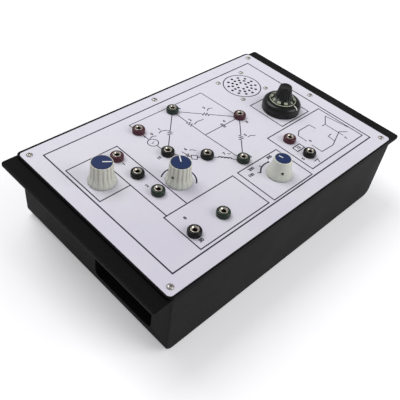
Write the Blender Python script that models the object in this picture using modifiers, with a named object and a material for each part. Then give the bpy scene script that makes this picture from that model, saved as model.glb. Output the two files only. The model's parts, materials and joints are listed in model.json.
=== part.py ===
# Bench trainer for an AC bridge: a moulded case with two side ledges, a printed panel
# that carries sockets, three knobs, a counting dial and a loudspeaker, and what works behind it.
# Metres, +Z up, front towards -Y, origin under the middle of the whole object, on the table.
import math

import bmesh
import bpy
from mathutils import Matrix, Vector

# Clearances and cutting
seat_gap = 0.0003
cut_overrun = 0.002
joint_overlap = 0.001
merge_distance = 0.00001

# Panel
panel_width = 0.300
panel_depth = 0.195
panel_thickness = 0.002
panel_corner_radius = 0.0045

# Case
case_height = 0.0746
wall_thickness = 0.003
floor_thickness = 0.003
end_wall_overhang = 0.0018
side_wall_setback = 0.0013
side_bottom_radius = 0.013
end_edge_radius = 0.004
rim_drop = 0.0004
rim_corner_radius = 0.006
ledge_reach = 0.01625
ledge_drop = 0.0024
ledge_thickness = 0.0031
ledge_corner_radius = 0.003
ledge_edge_radius = 0.0011
pad_radius = 0.009
pad_height = 0.002
pad_inset = 0.022

# Finger pockets in the side walls
pocket_length = 0.072
pocket_height = 0.024
pocket_depth = 0.015
pocket_corner_radius = 0.0035
pocket_shell = 0.0025
pocket_front_inset = 0.0175
pocket_floor_drop = 0.0626

# Panel screws
screw_inset = 0.0068
screw_shank_radius = 0.0012
screw_head_radius = 0.0029
screw_head_height = 0.0016
screw_length = 0.012
screw_crown_share = 0.5
screw_rim_share = 0.5
boss_half_width = 0.0045
boss_length = 0.030

# Sockets for 4 mm plugs
socket_radius = 0.0062
socket_height = 0.005
socket_edge_radius = 0.0016
socket_bush_radius = 0.0041
contact_radius = 0.0029
contact_flange_radius = 0.0038
contact_flange_thickness = 0.0011
contact_bore_radius = 0.002
contact_lip = 0.0003
contact_nut_radius = 0.0050
contact_nut_thickness = 0.0022
contact_tail_radius = 0.0011
contact_barrel_share = 0.5

# Rotary controls behind the knobs
shaft_radius = 0.003
shaft_flat_depth = 0.0008
bushing_radius = 0.0046
bushing_height = 0.0052
bushing_nut_radius = 0.0066
bushing_nut_thickness = 0.002
control_radius = 0.0120
control_thickness = 0.0095
selector_radius = 0.0135
selector_thickness = 0.0110
control_lug_width = 0.0100
control_lug_reach = 0.0060
control_lug_thickness = 0.0012
control_floor_share = 0.25
control_lug_share = 0.33
control_lug_turns = (-90,)
selector_lug_turns = (15, 75, 135, 195, 255, 315)

# Fluted knobs of the two potentiometers
knob_height = 0.0210
knob_skirt_radius = 0.0125
knob_top_radius = 0.0097
knob_cap_radius = 0.0086
knob_cap_rise = 0.0005
knob_cap_thickness = 0.0016
knob_flute_count = 16
knob_flute_depth = 0.00055
knob_floor_gap = 0.0006

# Flanks, from the top: share of the height gone down, share of the flare reached, share of the flute
knob_flank_shares = (
    (0.03, 0.00, 0.40),
    (0.45, 0.12, 1.00),
    (0.72, 0.36, 1.00),
    (0.89, 0.94, 0.90),
    (0.95, 1.00, 0.70),
)
selector_flank_shares = (
    (0.03, 0.05, 0.00),
    (0.30, 0.22, 0.00),
    (0.66, 0.54, 0.00),
    (0.90, 0.96, 0.00),
    (0.94, 1.00, 0.00),
)

# Smooth knob of the selector switch
selector_knob_height = 0.0180
selector_skirt_radius = 0.0123
selector_top_radius = 0.0080
selector_cap_radius = 0.0070

# Set screws in the knobs, and each knob's pointer at rest, in degrees from the panel's right
set_screw_radius = 0.0012
set_screw_reach = 0.0090
set_screw_height = 0.0096
selector_set_screw_height = 0.0080
set_screw_turn = 136
supply_pointer_turn = -30
resistor_pointer_turn = 52
selector_pointer_turn = 92

# Counting dial
dial_ring_radius = 0.0198
dial_ring_height = 0.0113
dial_ring_wall_height = 0.0062
dial_ring_wall = 0.0018
dial_disc_radius = 0.0138
dial_disc_thickness = 0.0022
dial_cone_rise = 0.0034
dial_height = 0.0270
dial_grip_base_radius = 0.0089
dial_grip_top_radius = 0.0065
dial_grip_edge_radius = 0.0012
dial_flute_count = 15
dial_flute_depth = 0.0005
dial_hub_radius = 0.0062
dial_grip_round_share = 0.5
dial_bore_share = 0.60
dial_shoulder_turns = (18, 40, 62, 90)

# Loudspeaker under the drilled part of the panel
grille_radius = 0.0207
grille_hole_radius = 0.00115
speaker_screw_offset = 0.01825
speaker_screw_radius = 0.0013
speaker_screw_head_radius = 0.0026
speaker_screw_head_height = 0.0014
speaker_screw_margin = 0.0030
speaker_depth = 0.0215
speaker_sheet = 0.0012
speaker_throat_share = 0.60
speaker_magnet_share = 0.72
speaker_basket_share = 0.62
cone_sheet = 0.0006
cone_voice_share = 0.50
cone_rise_share = 0.30
cone_dome_share = 0.35

# Circuit board on four pillars under the panel
board_drop = 0.022
board_thickness = 0.0016
pillar_radius = 0.003

# Transformer on the floor of the case
core_width = 0.042
core_depth = 0.020
core_height = 0.034
coil_margin = 0.0075
coil_rounding = 0.00375
strap_thickness = 0.0015
strap_reach = 0.009

# Mains inlet and power switch in the back wall
bezel_thickness = 0.0016
bezel_overlap = 0.0020
inlet_width = 0.0270
inlet_height = 0.0200
inlet_depth = 0.0160
inlet_wall = 0.0014
pin_width = 0.0040
pin_thickness = 0.0020
pin_spacing = 0.0070
pin_rise = 0.0040
tab_length = 0.0070
switch_width = 0.0130
switch_height = 0.0192
switch_depth = 0.0130
switch_wall = 0.0013
rocker_half_length = 0.0074
rocker_tip_rise = 0.0024
rocker_dip = 0.0012
rocker_root_half_length = 0.0030
rocker_root_depth = 0.0040
rocker_pivot_depth = 0.0020
rocker_pin_radius = 0.0010
rocker_tilt = math.radians(8)

# Facets
round_steps = 12
contact_steps = 10
hole_steps = 10
grille_hole_steps = 6
shank_steps = 8
large_round_steps = 22
control_steps = 14
corner_steps = 3
bend_steps = 4
eased_edge_turns = (0, 45, 90)

# Places on the panel, as shares of its width and depth from the front left corner
socket_place_shares = {
    "bridge_top": (0.505, 0.836, "green"),
    "generator": (0.345, 0.808, "maroon"),
    "bridge_left": (0.348, 0.604, "black"),
    "bridge_right": (0.667, 0.598, "maroon"),
    "bridge_node": (0.435, 0.478, "black"),
    "bridge_bottom": (0.512, 0.355, "green"),
    "supply_high": (0.213, 0.717, "maroon"),
    "supply_mid": (0.214, 0.575, "black"),
    "supply_low": (0.213, 0.436, "green"),
    "coil_common": (0.187, 0.169, "black"),
    "coil_live": (0.297, 0.169, "green"),
    "detector_high": (0.707, 0.315, "maroon"),
    "detector_low": (0.703, 0.185, "black"),
}
supply_place_share = (0.120, 0.638)
resistor_place_share = (0.293, 0.436)
selector_place_share = (0.555, 0.188)
dial_place_share = (0.823, 0.519)
speaker_place_share = (0.815, 0.787)
screw_place_shares = {
    "front_left": (0, 0),
    "front_right": (1, 0),
    "right_middle": (1, 0.5),
    "back_right": (1, 1),
    "back_middle": (0.5, 1),
    "back_left": (0, 1),
}

# Rings of holes in the grille: share of the grille's radius, number of holes
grille_ring_shares = ((0.280, 6), (0.517, 12), (0.749, 12))

# The board's edges as shares of the panel, its pillars and parts as shares of the board
board_low_share = (0.055, 0.055)
board_high_share = (0.738, 0.925)
pillar_place_shares = ((0.03, 0.03), (0.97, 0.03), (0.03, 0.97), (0.97, 0.97))
board_part_shares = (
    (0.30, 0.35, 0.10, 0.06, 0.30),
    (0.52, 0.35, 0.10, 0.06, 0.30),
    (0.75, 0.60, 0.07, 0.16, 0.45),
    (0.30, 0.72, 0.16, 0.10, 0.50),
    (0.62, 0.82, 0.08, 0.08, 0.70),
)
transformer_place_share = (0.855, 0.640)
inlet_place_share = 0.850
switch_place_share = 0.715
rear_height_share = 0.500

# Heights in the panel's frame, whose zero is the panel's top face
panel_underside = -panel_thickness
seat_level = panel_underside - seat_gap
board_top = panel_underside - board_drop
case_underside = -case_height
floor_level = case_underside + floor_thickness
case_width = panel_width - 2 * side_wall_setback
case_depth = panel_depth + 2 * end_wall_overhang
back_face = case_depth / 2
inner_width = case_width - 2 * wall_thickness
inner_depth = case_depth - 2 * wall_thickness


def rocker_outline():
    # From the pivot, along the wall and out of it, with the upper end tilted out.
    shape = [
        (-rocker_half_length, rocker_tip_rise),
        (-rocker_root_half_length, -rocker_root_depth),
        (rocker_root_half_length, -rocker_root_depth),
        (rocker_half_length, rocker_tip_rise),
        (0, rocker_dip),
    ]
    tilt = Matrix.Rotation(rocker_tilt, 2)
    return [tilt @ Vector((along, rise + rocker_pivot_depth)) for along, rise in shape]


bezel_face = back_face + seat_gap + bezel_thickness
rocker_pivot_face = bezel_face - rocker_pivot_depth
rear_reach = rocker_pivot_face + max(point.y for point in rocker_outline()) - back_face


def clear_scene():
    for item in list(bpy.data.objects):
        bpy.data.objects.remove(item, do_unlink=True)


def new_collection(name):
    made = bpy.data.collections.new(name)
    bpy.context.scene.collection.children.link(made)
    return made


def new_material(name, color, roughness, metallic=0.0):
    made = bpy.data.materials.new(name)
    made.use_nodes = True
    shader = made.node_tree.nodes["Principled BSDF"]
    shader.inputs["Base Color"].default_value = (*color, 1)
    shader.inputs["Roughness"].default_value = roughness
    shader.inputs["Metallic"].default_value = metallic
    return made


clear_scene()
parts = new_collection("bridge_trainer")
cutters = new_collection("cutters")
finishes = {
    "case_plastic": new_material("case_plastic", (0.012, 0.012, 0.013), 0.5),
    "panel_print": new_material("panel_print", (0.70, 0.69, 0.75), 0.35),
    "nickel": new_material("nickel", (0.62, 0.60, 0.56), 0.3, 1.0),
    "steel": new_material("steel", (0.45, 0.45, 0.46), 0.4, 1.0),
    "black": new_material("black_plastic", (0.010, 0.010, 0.010), 0.3),
    "maroon": new_material("maroon_plastic", (0.110, 0.012, 0.016), 0.3),
    "green": new_material("green_plastic", (0.006, 0.035, 0.020), 0.3),
    "knob_grey": new_material("knob_grey", (0.58, 0.58, 0.52), 0.45),
    "knob_blue": new_material("knob_blue", (0.020, 0.045, 0.160), 0.35),
    "board_green": new_material("board_green", (0.015, 0.110, 0.045), 0.5),
    "paper": new_material("paper", (0.030, 0.027, 0.025), 0.8),
}


def add_object(name, mesh, finish=None):
    made = bpy.data.objects.new(name, mesh)
    parts.objects.link(made)
    if finish and not mesh.materials:
        mesh.materials.append(finishes[finish])
    return made


def new_empty(name, parent, location):
    made = bpy.data.objects.new(name, None)
    parts.objects.link(made)
    made.parent = parent
    made.location = location
    return made


def place(item, parent, location=(0, 0, 0), rotation=(0, 0, 0)):
    item.parent = parent
    item.location = location
    item.rotation_euler = rotation
    return item


def smooth(mesh):
    mesh.shade_smooth()
    mesh.set_sharp_from_angle(angle=math.radians(35))


def baked(item):
    # The evaluated mesh of an object whose shape is finished, with loose caps welded.
    bpy.context.view_layer.update()
    seen = item.evaluated_get(bpy.context.evaluated_depsgraph_get())
    mesh = bpy.data.meshes.new_from_object(seen)
    work = bmesh.new()
    work.from_mesh(mesh)
    bmesh.ops.remove_doubles(work, verts=work.verts, dist=merge_distance)
    work.to_mesh(mesh)
    work.free()
    smooth(mesh)
    mesh.name = item.name
    bpy.data.objects.remove(item)
    return mesh


def turned_mesh(name, profile, steps, closed=False):
    # A profile of (radius, height) points, run down its outer side.
    points = [(radius, 0, height) for radius, height in profile]
    edges = [(index, index + 1) for index in range(len(points) - 1)]
    if closed:
        edges.append((len(points) - 1, 0))
    line = bpy.data.meshes.new(name)
    line.from_pydata(points, edges, [])
    item = add_object(name, line)
    turn = item.modifiers.new("Turn", 'SCREW')
    turn.steps = steps
    turn.render_steps = steps
    turn.use_merge_vertices = True
    turn.merge_threshold = merge_distance
    return baked(item)


def plate_mesh(name, outlines, thickness):
    # A flat outline, with any further outlines as holes, centred on its thickness.
    curve = bpy.data.curves.new(name, 'CURVE')
    curve.dimensions = '2D'
    curve.fill_mode = 'BOTH'
    curve.extrude = thickness / 2
    for outline in outlines:
        spline = curve.splines.new('POLY')
        spline.points.add(len(outline) - 1)
        for point, (across, along) in zip(spline.points, outline):
            point.co = (across, along, 0, 1)
        spline.use_cyclic_u = True
    return baked(add_object(name, curve))


def box_mesh(name, size):
    work = bmesh.new()
    bmesh.ops.create_cube(work, size=1)
    bmesh.ops.scale(work, verts=work.verts, vec=size)
    mesh = bpy.data.meshes.new(name)
    work.to_mesh(mesh)
    work.free()
    return mesh


def add_box(name, low, high, parent, finish=None):
    size = [b - a for a, b in zip(low, high)]
    middle = [(a + b) / 2 for a, b in zip(low, high)]
    return place(add_object(name, box_mesh(name, size), finish), parent, middle)


def eased_edge(radius, height, ease):
    # The rounded outer corner of a turned profile, from its top face down to its side.
    turns = [math.radians(turn) for turn in eased_edge_turns]
    return [
        (radius - ease * (1 - math.sin(turn)), height - ease * (1 - math.cos(turn)))
        for turn in turns
    ]


def circle(radius, steps, center=(0, 0)):
    turns = [2 * math.pi * index / steps for index in range(steps)]
    return [(center[0] + radius * math.cos(a), center[1] + radius * math.sin(a)) for a in turns]


def rounded_outline(width, height, radius, steps=corner_steps):
    points = []
    corners = ((1, 1, 0), (-1, 1, 1), (-1, -1, 2), (1, -1, 3))
    for side, end, quarter in corners:
        for index in range(steps + 1):
            angle = (quarter + index / steps) * math.pi / 2
            across = side * (width / 2 - radius) + radius * math.cos(angle)
            along = end * (height / 2 - radius) + radius * math.sin(angle)
            points.append((across, along))
    return points


def combine(target, tool, operation):
    tool.hide_render = True
    tool.display_type = 'WIRE'
    for owner in list(tool.users_collection):
        owner.objects.unlink(tool)
    cutters.objects.link(tool)
    step = target.modifiers.new(tool.name, 'BOOLEAN')
    step.operation = operation
    step.solver = 'EXACT'
    step.object = tool
    return target


def cut(target, tool):
    return combine(target, tool, 'DIFFERENCE')


def join(target, tool):
    return combine(target, tool, 'UNION')


def ring_mesh(name, rings, columns):
    # A turned body whose every second column is drawn in by each ring's flute depth.
    work = bmesh.new()
    disc = bmesh.ops.create_circle(work, cap_ends=True, segments=columns, radius=1)
    column_of = {}
    for vertex in disc["verts"]:
        angle = math.atan2(vertex.co.y, vertex.co.x)
        column_of[vertex] = round(angle / (2 * math.pi) * columns) % columns

    def shape(vertices, radius, height, flute):
        for vertex in vertices:
            column = column_of[vertex]
            reach = radius - flute * (column % 2)
            angle = 2 * math.pi * column / columns
            vertex.co = (reach * math.cos(angle), reach * math.sin(angle), height)

    loop = list(disc["verts"])
    shape(loop, *rings[0])
    edges = [edge for edge in work.edges if edge.is_boundary]
    for ring in rings[1:]:
        grown = bmesh.ops.extrude_edge_only(work, edges=edges)["geom"]
        fresh = [part for part in grown if isinstance(part, bmesh.types.BMVert)]
        for vertex in fresh:
            angle = math.atan2(vertex.co.y, vertex.co.x)
            column_of[vertex] = round(angle / (2 * math.pi) * columns) % columns
        shape(fresh, *ring)
        edges = [part for part in grown if isinstance(part, bmesh.types.BMEdge) and part.is_boundary]
    bmesh.ops.contextual_create(work, geom=edges)
    bmesh.ops.recalc_face_normals(work, faces=work.faces)
    mesh = bpy.data.meshes.new(name)
    work.to_mesh(mesh)
    work.free()
    smooth(mesh)
    return mesh


def on_panel(share):
    return ((share[0] - 0.5) * panel_width, (share[1] - 0.5) * panel_depth)


def screw_place(share):
    span_x = panel_width / 2 - screw_inset
    span_y = panel_depth / 2 - screw_inset
    return ((2 * share[0] - 1) * span_x, (2 * share[1] - 1) * span_y)


panel_frame = new_empty("panel_frame", None, (0, -rear_reach / 2, pad_height + case_height))


# The case, its ledges and pockets
def bevel_edges(work, edges, radius, steps):
    bmesh.ops.bevel(work, geom=edges, offset=radius, segments=steps, profile=0.5, affect='EDGES')


def edge_runs(edge, axis):
    direction = edge.verts[1].co - edge.verts[0].co
    return abs(direction[axis]) > 0 and all(direction[other] == 0 for other in range(3) if other != axis)


def tub_mesh(name, width, depth, height, side_radius, end_radius):
    # A box whose long lower edges are round, and with them the edges of its front and back.
    work = bmesh.new()
    bmesh.ops.create_cube(work, size=1)
    bmesh.ops.scale(work, verts=work.verts, vec=(width, depth, height))
    low_sides = [
        edge for edge in work.edges
        if edge_runs(edge, 1) and edge.verts[0].co.z < 0
    ]
    bevel_edges(work, low_sides, side_radius, bend_steps)
    if end_radius:
        ends = [
            edge for edge in work.edges
            if edge.verts[0].co.y == edge.verts[1].co.y
            and min(edge.verts[0].co.z, edge.verts[1].co.z) < 0
        ]
        bevel_edges(work, ends, end_radius, corner_steps)
    mesh = bpy.data.meshes.new(name)
    work.to_mesh(mesh)
    work.free()
    smooth(mesh)
    return mesh


def ledge_mesh(name, width, depth):
    # One plate that makes both ledges, its corners round and its upper edge eased.
    work = bmesh.new()
    bmesh.ops.create_cube(work, size=1)
    bmesh.ops.scale(work, verts=work.verts, vec=(width, depth, ledge_thickness))
    uprights = [edge for edge in work.edges if edge_runs(edge, 2)]
    bevel_edges(work, uprights, ledge_corner_radius, corner_steps)
    upper = [
        edge for edge in work.edges
        if min(edge.verts[0].co.z, edge.verts[1].co.z) > 0 and edge.calc_face_angle(0) > 0
    ]
    bevel_edges(work, upper, ledge_edge_radius, corner_steps)
    mesh = bpy.data.meshes.new(name)
    work.to_mesh(mesh)
    work.free()
    smooth(mesh)
    return mesh


def build_case():
    rim_level = -rim_drop
    body_height = rim_level - case_underside
    body = tub_mesh("case", case_width, case_depth, body_height, side_bottom_radius, end_edge_radius)
    case = place(add_object("case", body, "case_plastic"), panel_frame)
    case.location = (0, 0, (rim_level + case_underside) / 2)

    full_width = panel_width + 2 * ledge_reach
    ledges = add_object("ledges", ledge_mesh("ledges", full_width, case_depth))
    join(case, place(ledges, panel_frame, (0, 0, -ledge_drop - ledge_thickness / 2)))

    rim_bottom = -ledge_drop - ledge_thickness / 2
    rim_outline = rounded_outline(panel_width + 2 * end_wall_overhang, case_depth, rim_corner_radius)
    rim = add_object("rim", plate_mesh("rim", [rim_outline], rim_level - rim_bottom))
    join(case, place(rim, panel_frame, (0, 0, (rim_level + rim_bottom) / 2)))

    cavity_top = seat_level + cut_overrun
    cavity_mesh = tub_mesh(
        "cavity", inner_width, inner_depth, cavity_top - floor_level,
        side_bottom_radius - wall_thickness, 0)
    cavity = add_object("cavity", cavity_mesh)
    cut(case, place(cavity, panel_frame, (0, 0, (cavity_top + floor_level) / 2)))

    for name, share in screw_place_shares.items():
        join(case, screw_boss(name, share))
    pocket_middle = (
        -panel_depth / 2 + pocket_front_inset + pocket_length / 2,
        -pocket_floor_drop + pocket_height / 2,
    )
    for side, hand in ((-1, "left"), (1, "right")):
        join(case, pocket_block(hand + "_pocket_shell", side, pocket_middle, pocket_shell))
    for side, hand in ((-1, "left"), (1, "right")):
        cut(case, pocket_block(hand + "_pocket", side, pocket_middle, 0))

    for name, share, width, height in (
            ("inlet_cutout", inlet_place_share, inlet_width, inlet_height),
            ("switch_cutout", switch_place_share, switch_width, switch_height)):
        cut(case, rear_cutout(name, share, width + 2 * seat_gap, height + 2 * seat_gap))

    recess_outline = rounded_outline(
        panel_width + 2 * seat_gap, panel_depth + 2 * seat_gap, panel_corner_radius + seat_gap)
    recess_height = cut_overrun - seat_level
    recess = add_object("recess", plate_mesh("recess", [recess_outline], recess_height))
    cut(case, place(recess, panel_frame, (0, 0, (cut_overrun + seat_level) / 2)))

    pilot_profile = [
        (0, cut_overrun),
        (screw_shank_radius + seat_gap, cut_overrun),
        (screw_shank_radius + seat_gap, -screw_length - seat_gap),
        (0, -screw_length - seat_gap),
    ]
    pilot = turned_mesh("pilot", pilot_profile, shank_steps)
    for name, share in screw_place_shares.items():
        hole = add_object("pilot_" + name, pilot)
        cut(case, place(hole, panel_frame, (*screw_place(share), 0)))

    pad_profile = [
        (0, joint_overlap),
        (pad_radius, joint_overlap),
        (pad_radius, -pad_height),
        (0, -pad_height),
    ]
    pad = turned_mesh("pad", pad_profile, control_steps)
    for side in (-1, 1):
        for end in (-1, 1):
            spot = (side * (case_width / 2 - pad_inset), end * (case_depth / 2 - pad_inset))
            foot = add_object(f"pad_{side}_{end}", pad)
            join(case, place(foot, panel_frame, (*spot, case_underside)))
    return case


def screw_boss(name, share):
    # A moulded post under the panel's seat, grown into the wall or walls beside its screw.
    spot = screw_place(share)
    walls = (inner_width / 2 + joint_overlap, inner_depth / 2 + joint_overlap)
    low = [spot[0] - boss_half_width, spot[1] - boss_half_width, seat_level - boss_length]
    high = [spot[0] + boss_half_width, spot[1] + boss_half_width, seat_level]
    for axis in (0, 1):
        if share[axis] == 0:
            low[axis] = -walls[axis]
        if share[axis] == 1:
            high[axis] = walls[axis]
    return add_box("boss_" + name, low, high, panel_frame)


def pocket_block(name, side, middle, margin):
    outer = case_width / 2 - wall_thickness / 2
    if not margin:
        outer = case_width / 2 + cut_overrun
    inner = case_width / 2 - pocket_depth - margin
    outline = rounded_outline(
        pocket_length + 2 * margin, pocket_height + 2 * margin, pocket_corner_radius + margin)
    block = add_object(name, plate_mesh(name, [outline], outer - inner))
    place(block, panel_frame, (side * (outer + inner) / 2, *middle))
    block.rotation_euler = (math.pi / 2, 0, math.pi / 2)
    return block


# The panel and its screws
def build_panel():
    outlines = [rounded_outline(panel_width, panel_depth, panel_corner_radius)]
    for across, along, _ in socket_place_shares.values():
        outlines.append(circle(socket_bush_radius + seat_gap, hole_steps, on_panel((across, along))))
    for share in (supply_place_share, resistor_place_share, selector_place_share, dial_place_share):
        outlines.append(circle(bushing_radius + seat_gap, hole_steps, on_panel(share)))
    for share in screw_place_shares.values():
        outlines.append(circle(screw_shank_radius + seat_gap, shank_steps, screw_place(share)))
    middle = on_panel(speaker_place_share)
    for ring_share, count in grille_ring_shares:
        for center in circle(grille_radius * ring_share, count, middle):
            outlines.append(circle(grille_hole_radius, grille_hole_steps, center))
    for spot in speaker_screw_places():
        outlines.append(circle(speaker_screw_radius + seat_gap, shank_steps, spot))
    panel = add_object("front_panel", plate_mesh("front_panel", outlines, panel_thickness), "panel_print")
    return place(panel, panel_frame, (0, 0, panel_underside / 2))


def domed_screw_profile(head_radius, head_height, shank_radius, tip):
    return [
        (0, head_height),
        (head_radius * screw_crown_share, head_height),
        (head_radius, head_height * screw_rim_share),
        (head_radius, seat_gap),
        (shank_radius, seat_gap),
        (shank_radius, tip),
        (0, tip),
    ]


def build_panel_screws():
    profile = domed_screw_profile(screw_head_radius, screw_head_height, screw_shank_radius, -screw_length)
    mesh = turned_mesh("panel_screw", profile, shank_steps)
    for name, share in screw_place_shares.items():
        screw = add_object("panel_screw_" + name, mesh, "nickel")
        place(screw, panel_frame, (*screw_place(share), 0))


# Sockets: a coloured sleeve through the panel, and the contact that clamps it from behind
def build_sockets():
    hole = contact_radius + seat_gap
    flange_top = socket_height + contact_lip
    flange_bottom = flange_top - contact_flange_thickness
    counterbore_radius = contact_flange_radius + seat_gap
    counterbore_floor = flange_bottom - seat_gap
    sleeve_profile = [
        (hole, counterbore_floor),
        (counterbore_radius, counterbore_floor),
        (counterbore_radius, socket_height),
        *eased_edge(socket_radius, socket_height, socket_edge_radius),
        (socket_radius, seat_gap),
        (socket_bush_radius, seat_gap),
        (socket_bush_radius, panel_underside),
        (hole, panel_underside),
    ]
    nut_top = panel_underside - seat_gap
    nut_bottom = nut_top - contact_nut_thickness
    barrel_bottom = panel_underside - board_drop * contact_barrel_share
    bore_bottom = barrel_bottom + contact_radius - contact_bore_radius
    contact_profile = [
        (0, bore_bottom),
        (contact_bore_radius, bore_bottom),
        (contact_bore_radius, flange_top),
        (contact_flange_radius, flange_top),
        (contact_flange_radius, flange_bottom),
        (contact_radius, flange_bottom),
        (contact_radius, nut_top),
        (contact_nut_radius, nut_top),
        (contact_nut_radius, nut_bottom),
        (contact_radius, nut_bottom),
        (contact_radius, barrel_bottom),
        (contact_tail_radius, barrel_bottom),
        (contact_tail_radius, board_top + seat_gap),
        (0, board_top + seat_gap),
    ]
    contact_mesh = turned_mesh("contact", contact_profile, contact_steps)
    sleeve_meshes = {
        color: turned_mesh("sleeve_" + color, sleeve_profile, round_steps, closed=True)
        for color in ("black", "maroon", "green")
    }
    for name, (across, along, color) in socket_place_shares.items():
        spot = (*on_panel((across, along)), 0)
        place(add_object("socket_" + name, sleeve_meshes[color], color), panel_frame, spot)
        place(add_object("contact_" + name, contact_mesh, "nickel"), panel_frame, spot)


# Rotary controls: what stands still behind the panel, and the shaft that turns in it
def build_control(name, share, body_radius, body_thickness, lug_turns):
    body_top = seat_level
    body_bottom = body_top - body_thickness
    bore = shaft_radius + seat_gap
    bore_bottom = body_bottom + body_thickness * control_floor_share
    profile = [
        (0, bore_bottom),
        (bore, bore_bottom),
        (bore, bushing_height),
        (bushing_radius, bushing_height),
        (bushing_radius, seat_gap + bushing_nut_thickness),
        (bushing_nut_radius, seat_gap + bushing_nut_thickness),
        (bushing_nut_radius, seat_gap),
        (bushing_radius, seat_gap),
        (bushing_radius, body_top),
        (body_radius, body_top),
        (body_radius, body_bottom),
        (0, body_bottom),
    ]
    spot = (*on_panel(share), 0)
    body = add_object(name, turned_mesh(name, profile, control_steps), "steel")
    place(body, panel_frame, spot)
    for turn in lug_turns:
        size = (control_lug_reach + joint_overlap, control_lug_width, control_lug_thickness)
        lug = add_object(name + "_lug", box_mesh(name + "_lug", size))
        reach = body_radius + control_lug_reach / 2 - joint_overlap / 2
        angle = math.radians(turn)
        level = body_bottom + body_thickness * control_lug_share
        place(lug, body, (reach * math.cos(angle), reach * math.sin(angle), level), (0, 0, angle))
        join(body, lug)
    return bore_bottom + seat_gap


def build_shaft(name, axis, bottom, top, flat_turn):
    profile = [(0, top), (shaft_radius, top), (shaft_radius, bottom), (0, bottom)]
    shaft = add_object(name, turned_mesh(name, profile, control_steps), "steel")
    place(shaft, axis, rotation=(0, 0, math.radians(flat_turn)))
    low = (shaft_radius - shaft_flat_depth, -2 * shaft_radius, bushing_height)
    high = (2 * shaft_radius, 2 * shaft_radius, top + cut_overrun)
    cut(shaft, add_box(name + "_flat", low, high, shaft))


def radial_rod(name, axis, radius, inner, outer, height, turn, finish=None):
    # A round rod that points outwards from an upright axis.
    profile = [(0, outer), (radius, outer), (radius, inner), (0, inner)]
    rod = add_object(name, turned_mesh(name, profile, shank_steps), finish)
    return place(rod, axis, (0, 0, height), (0, math.pi / 2, math.radians(turn)))


def build_set_screw(name, knob, axis, knob_reach, height, turn):
    hole = (set_screw_radius + seat_gap, shaft_radius, knob_reach + cut_overrun)
    cut(knob, radial_rod(name + "_hole", axis, *hole, height, turn))
    tip = shaft_radius - shaft_flat_depth + seat_gap
    radial_rod(name, axis, set_screw_radius, tip, set_screw_reach, height, turn, "steel")


def knob_rings(sizes, flank_shares):
    # From the floor of the cap's recess over the rim, down the flank and up the hollow to the bore.
    height, skirt_radius, top_radius, cap_radius, flute = sizes
    recess_floor = height + knob_cap_rise - knob_cap_thickness - seat_gap
    hollow_radius = bushing_nut_radius + joint_overlap
    hollow_top = bushing_height + joint_overlap
    bore = shaft_radius + seat_gap
    flare_reach = skirt_radius - top_radius
    flank_height = height - knob_floor_gap
    flank = [
        (top_radius + flare * flare_reach, height - drop * flank_height, depth * flute)
        for drop, flare, depth in flank_shares
    ]
    return [
        (cap_radius + seat_gap, recess_floor, 0),
        (cap_radius + seat_gap, height, 0),
        (top_radius - seat_gap, height, 0),
        *flank,
        (skirt_radius, knob_floor_gap, 0),
        (hollow_radius, knob_floor_gap, 0),
        (hollow_radius, hollow_top, 0),
        (bore, hollow_top, 0),
        (bore, recess_floor - knob_cap_thickness, 0),
    ]


def build_cap(name, axis, radius, height):
    top = height + knob_cap_rise
    bottom = top - knob_cap_thickness
    profile = [
        (0, top),
        (radius - knob_cap_rise, top),
        (radius, top - knob_cap_rise),
        (radius, bottom),
        (0, bottom),
    ]
    place(add_object(name, turned_mesh(name, profile, large_round_steps), "knob_blue"), axis)


def build_knob(name, share, sizes, flank_shares, columns, screw_height, pointer_turn):
    axis = new_empty(name + "_axis", panel_frame, (*on_panel(share), 0))
    rings = knob_rings(sizes, flank_shares)
    knob = add_object(name + "_knob", ring_mesh(name + "_knob", rings, columns), "knob_grey")
    place(knob, axis)
    height, skirt_radius, _, cap_radius, _ = sizes
    screw_turn = pointer_turn + set_screw_turn
    build_set_screw(name + "_set_screw", knob, axis, skirt_radius, screw_height, screw_turn)
    build_cap(name + "_knob_cap", axis, cap_radius, height)
    return axis, rings[-1][1] - seat_gap, screw_turn


# The dial: a fixed ring round a numbered disc that turns with its tapered grip
def build_dial():
    share = dial_place_share
    axis = new_empty("dial_axis", panel_frame, (*on_panel(share), 0))
    opening = dial_disc_radius + 2 * seat_gap
    dome = dial_ring_radius - opening
    rise = dial_ring_height - dial_ring_wall_height
    inner_wall = dial_ring_radius - dial_ring_wall
    shoulder = [
        (opening + dome * math.sin(turn), dial_ring_wall_height + rise * math.cos(turn))
        for turn in map(math.radians, dial_shoulder_turns)
    ]
    ring_profile = [
        (opening, dial_ring_height),
        *shoulder,
        (dial_ring_radius, seat_gap),
        (inner_wall, seat_gap),
        (inner_wall, dial_ring_wall_height - dial_ring_wall / 2),
        (opening, dial_ring_height - dial_ring_wall),
    ]
    ring = add_object("dial_ring", turned_mesh("dial_ring", ring_profile, large_round_steps, True), "black")
    place(ring, panel_frame, (*on_panel(share), 0))

    disc_top = dial_ring_height + seat_gap
    disc_bottom = disc_top - dial_disc_thickness
    bore = shaft_radius + seat_gap
    grip_bottom = disc_top + dial_cone_rise
    bore_top = disc_top + (dial_height - disc_top) * dial_bore_share
    hub_bottom = bushing_height + joint_overlap
    rings = [
        *[(*point, 0) for point in eased_edge(dial_grip_top_radius, dial_height, dial_grip_edge_radius)],
        (dial_grip_base_radius - dial_flute_depth, grip_bottom + dial_flute_depth, dial_flute_depth),
        (dial_grip_base_radius, grip_bottom, dial_flute_depth * dial_grip_round_share),
        (dial_disc_radius, disc_top, 0),
        (dial_disc_radius, disc_bottom, 0),
        (dial_hub_radius, disc_bottom, 0),
        (dial_hub_radius, hub_bottom, 0),
        (bore, hub_bottom, 0),
        (bore, bore_top, 0),
    ]
    knob = add_object("dial_knob", ring_mesh("dial_knob", rings, 2 * dial_flute_count), "black")
    place(knob, axis)
    return axis, bore_top - seat_gap, 0


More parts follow.
